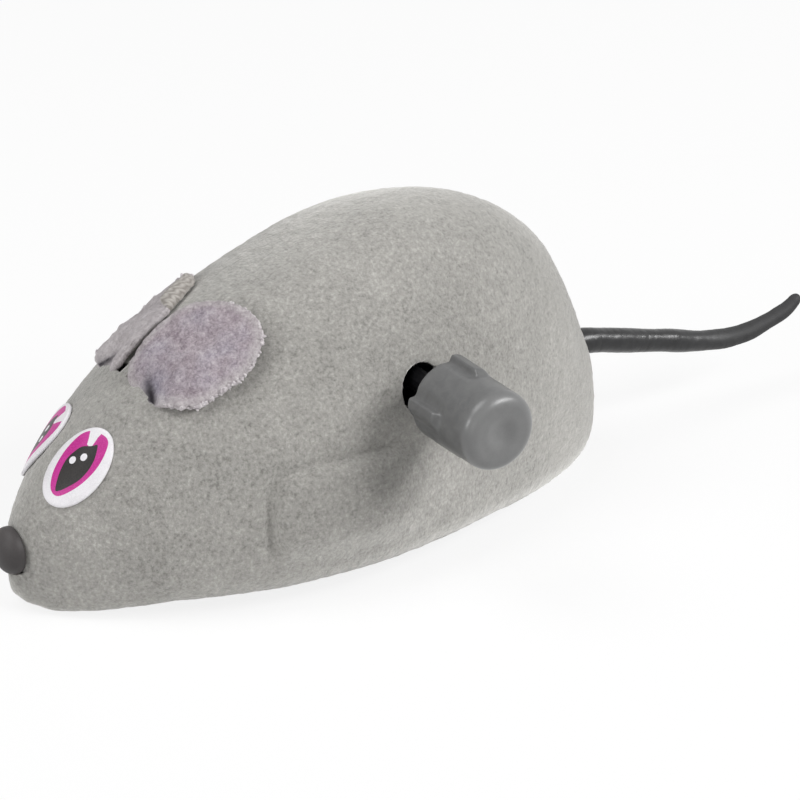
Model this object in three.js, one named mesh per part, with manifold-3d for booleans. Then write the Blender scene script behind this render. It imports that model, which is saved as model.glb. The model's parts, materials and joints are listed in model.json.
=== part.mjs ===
// A wind-up mouse cat toy: a flocked hollow body on wheels, with a clockwork wound by a knob on the left
// flank. Millimetres. +X points to the nose, +Y to the mouse's left, +Z up. The origin lies on the underside
// of the base plate, at the midplane, halfway along the body. The tyres reach below it to the floor.
import * as THREE from "three";
import { mergeVertices } from "three/addons/utils/BufferGeometryUtils.js";
import Module from "manifold-3d";

const wasm = await Module();
wasm.setup();

// Body form
const BODY_LENGTH = 72;
const BODY_WIDTH = 36.4;
const BODY_HEIGHT = 33.2; // rim to the top of the back
const GIRTH_HEIGHT = 5.1; // height of the widest line
const BELLY_DEPTH = 6.8; // how far the lower curve would reach below the widest line
const SHELL_WALL = 1.2;
const NOSE_WALL = 3.4; // the shell is thicker at its tip, where the nose is pushed in
// Lengthwise arcs: the share of the length from the rear where each is fullest, then the power and the root
// of its curve towards the rear and towards the nose
const WIDTH_ARC = { peak: 0.534, rear: [1.69, 0.587], nose: [1.94, 0.727] };
const BACK_ARC = { peak: 0.377, rear: [2.52, 0.596], nose: [1.63, 0.689] };
const BELLY_ARC = { peak: 0.671, rear: [3.62, 0.221], nose: [5.28, 0.2] };
const SECTION_ACROSS_POWER = 2.15;
const SECTION_UP_POWER = 1.67;
const SECTION_LOWER_POWER = 3;
// Raised foreleg on each flank, set back from the nose
const LEG_SETBACK = 31;
const LEG_HALF_LENGTH = 10;
const LEG_HEIGHT = 5;
const LEG_HALF_HEIGHT = 10;
const LEG_RISE = 0.7;
const LEG_EDGE = 1.6;
const LEG_FADE = 12;
const LEG_CORNER_POWER = 4;
const FLANK_SHARE = 0.2; // of the half width: nearer the midplane no foreleg rises

// Face, ears and tail
const EYE_SETBACK = 6.4;
const EYE_OFF_CENTRE = 3.6;
const EYE_LENGTH = 9.1;
const EYE_WIDTH = 6;
const EYE_THICKNESS = 0.5;
const EYE_LEAN = 0.14; // radians that the upper end leans outwards
const NOSE_RADIUS = 2.5;
const NOSE_DOME = 1.5;
const NOSE_RIM = 0.5;
const NOSE_SEAT_DEPTH = 0.8; // flat cut off the tip of the body
const NOSE_STEM_RADIUS = 0.9;
const NOSE_STEM_LENGTH = 3.6;
const EAR_ROOT_SETBACK = 14.6;
const EAR_ROOT_OFF_CENTRE = 3.2;
const EAR_ROOT_WIDTH = 4.4;
const EAR_LENGTH = 12;
const EAR_SPREAD = 0.31; // radians that the ear turns outwards
const EAR_WIDTH = 10.2;
const EAR_FULLEST = 0.48; // share of its length where the ear is widest
const EAR_PARTING = 0.4; // from the midplane to the ear's inner edge
const EAR_THICKNESS = 0.8;
const EAR_LIFT = 2.2; // height of the ear's free edge over the head
const EAR_CUP = 0.4; // share of that lift which only the ear's sides have
const EAR_TONGUE_DEPTH = 2.6;
const TAIL_HEIGHT = 10.5;
const TAIL_ROOT_RADIUS = 1.5;
const TAIL_TIP_RADIUS = 0.95;
const TAIL_ANCHOR_RADIUS = 2.4;
const TAIL_ANCHOR_THICKNESS = 1.2;
const TAIL_ANCHOR_INSET = 3.2;
// The tail's centre line behind the body's rear end, as [behind, above the hole]
const TAIL_LINE = [[0, 0], [7.3, -1.8], [15.7, -4], [21.4, -4.6], [27, -3.4], [29.6, -1.8]];

// Base plate and running gear
const PLATE_THICKNESS = 1.6;
const PLATE_CLEARANCE = 0.35;
const PLATE_END_GAP = 1.2; // at the plate's pointed ends
const GROUND_CLEARANCE = 1.6; // base plate above the floor
const WHEEL_RADIUS = 7;
const WHEEL_WIDTH = 2.6;
const WHEEL_GAP = 0.6; // between a wheel and the motor plate beside it
const WHEEL_LIP = 0.4; // on either side of the tyre's groove
const TYRE_THICKNESS = 1.7;
const TYRE_SHOULDER = 0.5; // width of the bevel beside the tread
const TYRE_SHOULDER_DROP = 0.55;
const TYRE_LIP = 0.5; // depth of the groove that the tyre sits in
const AXLE_RADIUS = 1;
const ROLLER_RADIUS = 4.2;
const ROLLER_WIDTH = 4.4;
const ROLLER_PIN_RADIUS = 0.8;
const ROLLER_EDGE = 0.6;
const ROLLER_EAR_THICKNESS = 1.2;
const ROLLER_EAR_WALL = 1.4; // of the ear round the pin
const ROLLER_EAR_GAP = 0.5;
const SLOT_MARGIN = 0.5; // between a wheel or roller and its slot
const BOSS_RADIUS = 2.2;
const REAR_BOSS_INSET = 9.6; // from the body's ends
const FRONT_BOSS_INSET = 9.5;
const ROLLER_BEHIND_BOSS = 7.9;
const SCREW_RADIUS = 1;
const SCREW_HEAD_RADIUS = 1.8;
const SCREW_HEAD_HEIGHT = 0.8;
const SCREW_RECESS = 1; // depth of the counterbore in the base plate
const SCREW_LENGTH = 6; // below the head
const SCREW_SLOT_REACH = 1.25;
const SCREW_SLOT_WIDTH = 0.4;
const SCREW_SLOT_DEPTH = 0.35;

// Clockwork
// The motor sits ahead of the rear boss: first its rear foot, then axle, winding arbor and front foot
const REAR_FOOT_AHEAD = 4.9;
const AXLE_AHEAD = 11.5;
const ARBOR_AHEAD = 5.4;
const FRONT_FOOT_AHEAD = 9.1;
const ARBOR_Z = 19.3;
const ARBOR_RADIUS = 1.2;
const MOTOR_WIDTH = 8.4; // between the motor plates
const MOTOR_PLATE = 0.9;
const MOTOR_PLATE_MARGIN = 1.3; // of plate round each pillar
const MODULE = 0.5;
const GREAT_TEETH = 36;
const SECOND_PINION_TEETH = 9;
const SECOND_TEETH = 32;
const AXLE_PINION_TEETH = 8;
const GEAR_THICKNESS = 1;
const PINION_EXTRA = 0.4; // a pinion is wider than its gear by this
const TRAIN_GAP = 0.4; // between neighbours along a shaft
const SECOND_ARBOR_RADIUS = 0.8;
const PRESSURE_ANGLE = THREE.MathUtils.degToRad(25);
const ADDENDUM = 0.8; // in modules
const DEDENDUM = 1.15; // in modules
const BACKLASH = 0.2;
const RATCHET_TEETH = 12;
const RATCHET_RADIUS = 4.2;
const RATCHET_DEPTH = 0.8;
const RATCHET_RAKE = 0.03; // radians that a tooth's steep side leans
const RATCHET_THICKNESS = 0.8;
const CLICK_THICKNESS = 0.4;
const CLICK_STUD_RADIUS = 0.6;
const CLICK_EYE_RADIUS = 1.2;
const CLICK_STUD_REACH = 6.9; // from the arbor's axis to the stud
const CLICK_STUD_ANGLE = THREE.MathUtils.degToRad(205);
const CLICK_LEAD = 1.5; // ratchet teeth between the stud and the click's tip, at least
const CLICK_BITE = 0.2; // how far the tip would drop below the ratchet's tips
const SPRING_THICKNESS = 0.25;
const SPRING_WIDTH = 3;
const SPRING_TURNS = 6.5;
const SPRING_OUTER_RADIUS = 7.4;
const SPRING_RUN_OUT = 0.4; // of a turn, from the coils to the hook
const PILLAR_RADIUS = 1.1;
const PILLAR_TENON_RADIUS = 0.7;
const PILLAR_TENON_PROUD = 0.5;
const PILLAR_GAP = 0.5; // between a pillar and the tips of the nearest gear
const FRONT_PILLAR_ANGLE = THREE.MathUtils.degToRad(2); // round the winding arbor, from +X towards +Z
const REAR_PILLAR_ANGLE = THREE.MathUtils.degToRad(108); // round the second arbor
const FOOT_BAR_SIZE = 3.6;
const FOOT_BAR_RISE = 2.2; // of the foot bars above the base plate

// Winding knob
const KNOB_RADIUS = 4.15;
const KNOB_LENGTH = 9.8;
const KNOB_STANDOFF = 4.6; // from the flank to the knob
const KNOB_EDGE = 1.0;
const KNOB_DIMPLE_RADIUS = 1.8;
const KNOB_DIMPLE_FLOOR = 1.35; // radius
const KNOB_DIMPLE_DEPTH = 0.5;
const KNOB_BORE_DEPTH = 6.5;
const KNOB_FIN_REACH = 4.95;
const KNOB_FIN_LENGTH = 5.0;
const KNOB_FIN_THICKNESS = 1.2;
const KNOB_FIN_COUNT = 4;
const KNOB_FIN_ANGLE = THREE.MathUtils.degToRad(79); // of the first fin
const KNOB_HOLE_RADIUS = 2.75;

// Clearances
const SEAT_GAP = 0.3; // between a fixed piece and what it sits in
const RUNNING_GAP = 0.15; // round a shaft in its hole
const SHAFT_END = 0.6; // of a shaft beyond its plate

// How finely round and curved faces are divided
const ROUND_SIDES = 24;
const SMALL_SIDES = 12;
const TREAD_SIDES = 36;
const BODY_STATIONS = 34;
const BODY_SIDES = 40;
const CAVITY_STATIONS = 20;
const CAVITY_SIDES = 28;
const SPRING_STEPS_PER_TURN = 14;
const TAIL_STATIONS = 16;
const TAIL_SIDES = 10;
const EAR_STATIONS = 9;
const EAR_STRIPS = 8;
const EYE_SIDES = 20;
const EYE_RINGS = 3;

// A closed geometry as a solid with its faces outwards
function solid(geometry) {
  const bare = geometry.index ? geometry.toNonIndexed() : geometry.clone();
  bare.deleteAttribute("normal");
  bare.deleteAttribute("uv");
  const merged = mergeVertices(bare, 1e-4);
  const triangles = [];
  const index = merged.index.array;
  for (let i = 0; i < index.length; i += 3) {
    const [a, b, c] = [index[i], index[i + 1], index[i + 2]];
    if (a !== b && b !== c && a !== c) triangles.push(a, b, c);
  }
  const make = (corners) =>
    new wasm.Manifold(
      new wasm.Mesh({
        numProp: 3,
        vertProperties: new Float32Array(merged.attributes.position.array),
        triVerts: new Uint32Array(corners),
      }),
    );
  const made = make(triangles);
  return made.volume() > 0 ? made : make(triangles.reverse());
}

// A solid back as a geometry
function geometryOf(shape) {
  const mesh = shape.getMesh();
  const places = new Float32Array(mesh.numVert * 3);
  for (let i = 0; i < mesh.numVert; i++) {
    places.set(mesh.vertProperties.subarray(i * mesh.numProp, i * mesh.numProp + 3), i * 3);
  }
  const geometry = new THREE.BufferGeometry();
  geometry.setAttribute("position", new THREE.BufferAttribute(places, 3));
  geometry.setIndex(new THREE.BufferAttribute(new Uint32Array(mesh.triVerts), 1));
  geometry.computeVertexNormals();
  return geometry;
}

// A profile of [radius, along] points turned about Y, Z or X through a point
function turned(profile, axis, x, y, z, sides = ROUND_SIDES) {
  const geometry = new THREE.LatheGeometry(profile.map(([r, h]) => new THREE.Vector2(r, h)), sides);
  if (axis === "z") geometry.rotateX(Math.PI / 2);
  if (axis === "x") geometry.rotateZ(-Math.PI / 2);
  return solid(geometry.translate(x, y, z));
}

function rod(radius, from, to, axis, x, y, z, sides = ROUND_SIDES) {
  return turned([[0, from], [radius, from], [radius, to], [0, to]], axis, x, y, z, sides);
}

// A round post between two heights
function post(radius, from, to, x, y, sides = SMALL_SIDES) {
  return rod(radius, from, to, "z", x, y, 0, sides);
}

function block(x0, x1, y0, y1, z0, z1) {
  const box = new THREE.BoxGeometry(x1 - x0, y1 - y0, z1 - z0);
  return solid(box.translate((x0 + x1) / 2, (y0 + y1) / 2, (z0 + z1) / 2));
}

// An outline in X and Y given a height, and an outline in X and Z given a width
function extrudedUp(shape, z0, z1) {
  const geometry = new THREE.ExtrudeGeometry(shape, { depth: z1 - z0, bevelEnabled: false });
  return solid(geometry.translate(0, 0, z0));
}

function extrudedAcross(shape, y0, y1, x = 0, z = 0) {
  const geometry = new THREE.ExtrudeGeometry(shape, { depth: y1 - y0, bevelEnabled: false });
  return solid(geometry.rotateX(Math.PI / 2).translate(x, y1, z));
}

function polar(radius, angle) {
  return new THREE.Vector2(radius * Math.cos(angle), radius * Math.sin(angle));
}

function circlePath(radius, x = 0, y = 0, sides = ROUND_SIDES) {
  const centre = new THREE.Vector2(x, y);
  const points = [];
  for (let i = 0; i < sides; i++) points.push(polar(radius, (2 * Math.PI * i) / sides).add(centre));
  return new THREE.Path(points);
}

// Rings of points skinned from a first end point to a last one
function skinned(rings, first, last) {
  const places = [first, ...rings.flat(), last];
  const count = rings[0].length;
  const end = places.length - 1;
  const triangles = [];
  rings.forEach((ring, i) => {
    for (let k = 0; k < count; k++) {
      const next = (k + 1) % count;
      const here = 1 + i * count;
      if (i === 0) triangles.push(0, here + next, here + k);
      if (i === rings.length - 1) {
        triangles.push(end, here + k, here + next);
        continue;
      }
      const there = here + count;
      triangles.push(here + k, here + next, there + next, here + k, there + next, there + k);
    }
  });
  const geometry = new THREE.BufferGeometry().setFromPoints(places);
  geometry.setIndex(triangles);
  return solid(geometry);
}

// The body's form: an egg with a long snout
function arc(share, { peak, rear, nose }) {
  const behind = share < peak;
  const [power, root] = behind ? rear : nose;
  const away = behind ? (peak - share) / peak : (share - peak) / (1 - peak);
  return Math.max(0, 1 - Math.min(1, away) ** power) ** root;
}

function bodyForm(rearX, noseX, halfWidth, backRise) {
  const at = (x) => {
    const share = (x - rearX) / (noseX - rearX);
    return {
      half: halfWidth * arc(share, WIDTH_ARC),
      up: backRise * arc(share, BACK_ARC),
      down: BELLY_DEPTH * arc(share, BELLY_ARC),
    };
  };
  return { rearX, noseX, at };
}

const NOSE_X = BODY_LENGTH / 2;
const REAR_X = -BODY_LENGTH / 2;
const BACK_RISE = BODY_HEIGHT - GIRTH_HEIGHT;
const OUTSIDE = bodyForm(REAR_X, NOSE_X, BODY_WIDTH / 2, BACK_RISE);
const INSIDE = bodyForm(
  REAR_X + SHELL_WALL,
  NOSE_X - NOSE_WALL,
  BODY_WIDTH / 2 - SHELL_WALL,
  BACK_RISE - SHELL_WALL,
);

// Height of the upper surface over a point, half width of the flank at a height, and half width of the rim
function heightAt(x, y) {
  const { half, up } = OUTSIDE.at(x);
  const across = Math.min(1, Math.abs(y) / half);
  return GIRTH_HEIGHT + up * (1 - across ** SECTION_ACROSS_POWER) ** (1 / SECTION_UP_POWER);
}

function flankAt(x, z) {
  const { half, up } = OUTSIDE.at(x);
  const rise = Math.min(1, Math.max(0, z - GIRTH_HEIGHT) / up);
  return half * (1 - rise ** SECTION_UP_POWER) ** (1 / SECTION_ACROSS_POWER);
}

function rimAt(form, x) {
  const { half, down } = form.at(x);
  const drop = Math.min(1, GIRTH_HEIGHT / down);
  return half * (1 - drop ** SECTION_LOWER_POWER) ** (1 / SECTION_LOWER_POWER);
}

// Where the open rim ends, behind (-1) or in front (1): there the lower curve only just reaches the rim
function rimEnd(form, way) {
  const { peak, rear, nose } = BELLY_ARC;
  const [power, root] = way < 0 ? rear : nose;
  const away = (1 - (GIRTH_HEIGHT / BELLY_DEPTH) ** (1 / root)) ** (1 / power);
  const share = way < 0 ? peak * (1 - away) : peak + (1 - peak) * away;
  return THREE.MathUtils.lerp(form.rearX, form.noseX, share);
}

// How far the foreleg stands out of the flank, 0 to 1
function legRelief(x, z) {
  const centre = NOSE_X - LEG_SETBACK;
  const along = Math.abs(x - centre) / LEG_HALF_LENGTH;
  const up = Math.abs(z - LEG_HEIGHT) / LEG_HALF_HEIGHT;
  const reach = (along ** LEG_CORNER_POWER + up ** LEG_CORNER_POWER) ** (1 / LEG_CORNER_POWER);
  const inside = (1 - reach) * LEG_HALF_LENGTH;
  const edge = THREE.MathUtils.smoothstep(inside, -LEG_EDGE / 2, LEG_EDGE / 2);
  const rear = centre - LEG_HALF_LENGTH;
  return edge * THREE.MathUtils.smoothstep(x, rear, rear + LEG_FADE);
}

function bodySolid(form, stations, sides, relief) {
  const rings = [];
  for (let i = 1; i < stations; i++) {
    const share = (1 - Math.cos((Math.PI * i) / stations)) / 2;
    const x = form.rearX + share * (form.noseX - form.rearX);
    const { half, up, down } = form.at(x);
    const ring = [];
    for (let k = 0; k < sides; k++) {
      const angle = (2 * Math.PI * k) / sides;
      const [c, s] = [Math.cos(angle), Math.sin(angle)];
      const upper = s >= 0;
      const acrossPower = upper ? SECTION_ACROSS_POWER : SECTION_LOWER_POWER;
      const upPower = upper ? SECTION_UP_POWER : SECTION_LOWER_POWER;
      const z = GIRTH_HEIGHT + (upper ? up : down) * Math.sign(s) * Math.abs(s) ** (2 / upPower);
      const rise = relief && Math.abs(c) > FLANK_SHARE ? LEG_RISE * legRelief(x, z) : 0;
      const y = half * Math.abs(c) ** (2 / acrossPower) + rise;
      ring.push(new THREE.Vector3(x, Math.sign(c) * y, z));
    }
    rings.push(ring);
  }
  const [first, last] = [form.rearX, form.noseX].map((x) => new THREE.Vector3(x, 0, GIRTH_HEIGHT));
  return skinned(rings, first, last);
}

// The place, outward normal and tangents of the head at a plan point: back runs up the head, side to the left
function headFrame(x, y) {
  const step = 0.05;
  const slopeX = (heightAt(x + step, y) - heightAt(x - step, y)) / (2 * step);
  const slopeY = (heightAt(x, y + step) - heightAt(x, y - step)) / (2 * step);
  const normal = new THREE.Vector3(-slopeX, -slopeY, 1).normalize();
  const back = new THREE.Vector3(-1, 0, -slopeX).normalize();
  const side = new THREE.Vector3().crossVectors(back, normal).normalize();
  return { place: new THREE.Vector3(x, y, heightAt(x, y)), normal, back, side };
}

// A plan point on the head, lifted off it along the head's normal
function onHead(x, y, lift) {
  const { place, normal } = headFrame(x, y);
  return place.addScaledVector(normal, lift);
}

// A point near the head brought onto it along a given direction
function pressedOnHead(point, direction) {
  const found = point.clone();
  const rounds = 12;
  for (let i = 0; i < rounds; i++) {
    found.addScaledVector(direction, (heightAt(found.x, found.y) - found.z) * direction.z);
  }
  return found;
}

// Places along the body, from its ends
const FRONT_BOSS_X = NOSE_X - FRONT_BOSS_INSET;
const REAR_BOSS_X = REAR_X + REAR_BOSS_INSET;
const ROLLER_X = FRONT_BOSS_X - ROLLER_BEHIND_BOSS;
const REAR_FOOT_X = REAR_BOSS_X + REAR_FOOT_AHEAD;
const AXLE_X = REAR_FOOT_X + AXLE_AHEAD;
const ARBOR_X = AXLE_X + ARBOR_AHEAD;
const FRONT_FOOT_X = ARBOR_X + FRONT_FOOT_AHEAD;

// Clockwork layout: each shaft's place in X and Z
const pitchRadius = (teeth) => (teeth * MODULE) / 2;
const tipRadius = (teeth) => pitchRadius(teeth) + ADDENDUM * MODULE;
const ARBOR = new THREE.Vector2(ARBOR_X, ARBOR_Z);
const AXLE = new THREE.Vector2(AXLE_X, WHEEL_RADIUS - GROUND_CLEARANCE);
const FIRST_CENTRES = pitchRadius(GREAT_TEETH) + pitchRadius(SECOND_PINION_TEETH);
const SECOND_CENTRES = pitchRadius(SECOND_TEETH) + pitchRadius(AXLE_PINION_TEETH);
const SECOND = meetingPoint(ARBOR, FIRST_CENTRES, AXLE, SECOND_CENTRES);

// The point at given distances from two others, on the side towards the rear
function meetingPoint(a, fromA, b, fromB) {
  const apart = a.distanceTo(b);
  const along = (fromA ** 2 - fromB ** 2 + apart ** 2) / (2 * apart);
  const off = Math.sqrt(fromA ** 2 - along ** 2);
  const way = b.clone().sub(a).divideScalar(apart);
  const across = new THREE.Vector2(way.y, -way.x);
  return a.clone().addScaledVector(way, along).addScaledVector(across, off);
}

const MOTOR_HALF = MOTOR_WIDTH / 2;
const MOTOR_OUTER = MOTOR_HALF + MOTOR_PLATE;
const WHEEL_INNER = MOTOR_OUTER + WHEEL_GAP;
const WHEEL_OUTER = WHEEL_INNER + WHEEL_WIDTH;
// Places across the motor, from the right plate to the left one
const SPRING_Y = -MOTOR_HALF + TRAIN_GAP;
const RATCHET_Y = SPRING_Y + SPRING_WIDTH + TRAIN_GAP;
const GREAT_Y = RATCHET_Y + RATCHET_THICKNESS + TRAIN_GAP;
const SECOND_Y = GREAT_Y + GEAR_THICKNESS + PINION_EXTRA;
const pillarBeside = (teeth, angle, centre) =>
  polar(tipRadius(teeth) + PILLAR_GAP + PILLAR_RADIUS, angle).add(centre);
const FRONT_PILLAR = pillarBeside(GREAT_TEETH, FRONT_PILLAR_ANGLE, ARBOR);
const REAR_PILLAR = pillarBeside(SECOND_TEETH, REAR_PILLAR_ANGLE, SECOND);
const FOOT_BAR_BASE = PLATE_THICKNESS + FOOT_BAR_RISE;
const FOOT_BAR_Z = FOOT_BAR_BASE + FOOT_BAR_SIZE / 2;
const FRONT_FOOT = new THREE.Vector2(FRONT_FOOT_X, FOOT_BAR_Z);
const REAR_FOOT = new THREE.Vector2(REAR_FOOT_X, FOOT_BAR_Z);
const ROLLER_Z = ROLLER_RADIUS - GROUND_CLEARANCE;
const NOSE_SEAT_X = NOSE_X - NOSE_SEAT_DEPTH;
const EAR_ROOT_X = NOSE_X - EAR_ROOT_SETBACK;

// Body shell
function bodyShell() {
  const outside = bodySolid(OUTSIDE, BODY_STATIONS, BODY_SIDES, true);
  const aboveRim = block(-BODY_LENGTH, BODY_LENGTH, -BODY_WIDTH, BODY_WIDTH, 0, 2 * BODY_HEIGHT);
  const cavity = bodySolid(INSIDE, CAVITY_STATIONS, CAVITY_SIDES, false);
  let shell = outside.intersect(aboveRim).subtract(cavity);
  for (const x of [FRONT_BOSS_X, REAR_BOSS_X]) {
    shell = shell.add(post(BOSS_RADIUS, PLATE_THICKNESS, BODY_HEIGHT, x, 0).intersect(outside));
  }
  const pilotTop = SCREW_RECESS + SCREW_LENGTH + 2 * SEAT_GAP;
  for (const x of [FRONT_BOSS_X, REAR_BOSS_X]) {
    shell = shell.subtract(post(SCREW_RADIUS + RUNNING_GAP, 0, pilotTop, x, 0));
  }
  const seat = rod(NOSE_RADIUS + SEAT_GAP, 0, NOSE_SEAT_DEPTH + 1, "x", NOSE_SEAT_X, 0, GIRTH_HEIGHT);
  const stemRadius = NOSE_STEM_RADIUS + SEAT_GAP;
  const stemHole = rod(stemRadius, -NOSE_STEM_LENGTH - 1, 1, "x", NOSE_SEAT_X, 0, GIRTH_HEIGHT, SMALL_SIDES);
  const tailRadius = TAIL_ROOT_RADIUS + SEAT_GAP;
  const tailHole = rod(tailRadius, -1, TAIL_ANCHOR_INSET, "x", REAR_X, 0, TAIL_HEIGHT, SMALL_SIDES);
  const knobHole = rod(KNOB_HOLE_RADIUS, 0, BODY_WIDTH, "y", ARBOR_X, 0, ARBOR_Z);
  shell = shell.subtract(seat).subtract(stemHole).subtract(tailHole).subtract(knobHole);
  for (const side of [1, -1]) {
    shell = shell.subtract(earTongue(side, SEAT_GAP, EAR_TONGUE_DEPTH + 1, 1));
  }
  return shell;
}

// The ear's root: a tongue square to the head, pushed through a slit
function earTongue(side, margin, depth, proud) {
  const { place, normal, back, side: across } = headFrame(EAR_ROOT_X, side * EAR_ROOT_OFF_CENTRE);
  const slab = new THREE.BoxGeometry(EAR_THICKNESS + 2 * margin, EAR_ROOT_WIDTH + 2 * margin, depth + proud);
  slab.translate(0, 0, (proud - depth) / 2);
  slab.applyMatrix4(new THREE.Matrix4().makeBasis(back, across, normal).setPosition(place));
  return solid(slab);
}

// An ear: a rounded flap that leaves its root, lies back over the head and lifts towards its free edge
function ear(side) {
  const layer = (lift) => {
    const rows = [];
    for (let i = 0; i <= EAR_STATIONS; i++) {
      const along = i / EAR_STATIONS;
      const off = (along - EAR_FULLEST) / Math.max(EAR_FULLEST, 1 - EAR_FULLEST);
      const lobe = (EAR_WIDTH / 2) * Math.sqrt(Math.max(0, 1 - off * off));
      const half = Math.max(lobe, (EAR_ROOT_WIDTH / 2) * (1 - along), EAR_THICKNESS / 2);
      const row = [];
      for (let k = 0; k <= EAR_STRIPS; k++) {
        const across = (2 * k) / EAR_STRIPS - 1;
        const x = EAR_ROOT_X - EAR_LENGTH * along * Math.cos(EAR_SPREAD);
        const middle = EAR_ROOT_OFF_CENTRE + EAR_LENGTH * along * Math.sin(EAR_SPREAD);
        const y = Math.max(EAR_PARTING, middle + across * half);
        const rise = SEAT_GAP + EAR_LIFT * along * (1 - EAR_CUP + EAR_CUP * across * across);
        row.push(onHead(x, side * y, rise + lift));
      }
      rows.push(row);
    }
    return rows;
  };
  const under = layer(0);
  const over = layer(EAR_THICKNESS);
  const rings = under.map((row, i) => [...row, ...over[i].slice().reverse()]);
  const middle = (ring) => ring.reduce((sum, p) => sum.add(p), new THREE.Vector3()).divideScalar(ring.length);
  const flap = skinned(rings, middle(rings[0]), middle(rings.at(-1)));
  return flap.add(earTongue(side, 0, EAR_TONGUE_DEPTH, SEAT_GAP + EAR_THICKNESS));
}

// An eye: a thin oval that follows the curve of the head
function eye(side) {
  const { place, normal, back, side: across } = headFrame(NOSE_X - EYE_SETBACK, side * EYE_OFF_CENTRE);
  const lean = side * EYE_LEAN;
  const long = back.clone().multiplyScalar(Math.cos(lean)).addScaledVector(across, Math.sin(lean));
  const short = new THREE.Vector3().crossVectors(normal, long);
  const spot = (share, angle, lift) => {
    const flat = place.clone();
    flat.addScaledVector(long, (share * EYE_LENGTH * Math.cos(angle)) / 2);
    flat.addScaledVector(short, (share * EYE_WIDTH * Math.sin(angle)) / 2);
    const pressed = pressedOnHead(flat, normal);
    return onHead(pressed.x, pressed.y, lift);
  };
  const ring = (share, lift) => {
    const points = [];
    for (let k = 0; k < EYE_SIDES; k++) points.push(spot(share, (2 * Math.PI * k) / EYE_SIDES, lift));
    return points;
  };
  const rings = [];
  for (let i = 1; i <= EYE_RINGS; i++) rings.push(ring(i / EYE_RINGS, SEAT_GAP));
  for (let i = EYE_RINGS; i >= 1; i--) rings.push(ring(i / EYE_RINGS, SEAT_GAP + EYE_THICKNESS));
  return skinned(rings, spot(0, 0, SEAT_GAP), spot(0, 0, SEAT_GAP + EYE_THICKNESS));
}

function nose() {
  const profile = [[0, -NOSE_STEM_LENGTH], [NOSE_STEM_RADIUS, -NOSE_STEM_LENGTH]];
  profile.push([NOSE_STEM_RADIUS, SEAT_GAP], [NOSE_RADIUS, SEAT_GAP]);
  const steps = 6;
  for (let i = 0; i < steps; i++) {
    const angle = (Math.PI / 2) * (i / steps);
    profile.push([NOSE_RADIUS * Math.cos(angle), SEAT_GAP + NOSE_RIM + NOSE_DOME * Math.sin(angle)]);
  }
  profile.push([0, SEAT_GAP + NOSE_RIM + NOSE_DOME]);
  return turned(profile, "x", NOSE_SEAT_X, 0, GIRTH_HEIGHT);
}

// The tail: a tapering tube along its line, with a round anchor inside the shell
function tail() {
  const anchorX = REAR_X + TAIL_ANCHOR_INSET + SEAT_GAP;
  const line = TAIL_LINE.map(([behind, above]) => new THREE.Vector3(REAR_X - behind, 0, TAIL_HEIGHT + above));
  const start = new THREE.Vector3(anchorX + TAIL_ANCHOR_THICKNESS / 2, 0, TAIL_HEIGHT);
  const curve = new THREE.CatmullRomCurve3([start, ...line]);
  const rings = [];
  for (let i = 0; i <= TAIL_STATIONS; i++) {
    const share = i / TAIL_STATIONS;
    const place = curve.getPointAt(share);
    const way = curve.getTangentAt(share);
    const up = new THREE.Vector3(-way.z, 0, way.x);
    const radius = THREE.MathUtils.lerp(TAIL_ROOT_RADIUS, TAIL_TIP_RADIUS, share);
    const ring = [];
    for (let k = 0; k < TAIL_SIDES; k++) {
      const turn = polar(radius, (2 * Math.PI * k) / TAIL_SIDES);
      ring.push(place.clone().addScaledVector(up, turn.x).add(new THREE.Vector3(0, turn.y, 0)));
    }
    rings.push(ring);
  }
  const tip = curve.getPointAt(1).addScaledVector(curve.getTangentAt(1), TAIL_TIP_RADIUS / 2);
  const strand = skinned(rings, curve.getPointAt(0), tip);
  const anchor = rod(TAIL_ANCHOR_RADIUS, 0, TAIL_ANCHOR_THICKNESS, "x", anchorX, 0, TAIL_HEIGHT, SMALL_SIDES);
  return strand.add(anchor);
}

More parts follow.
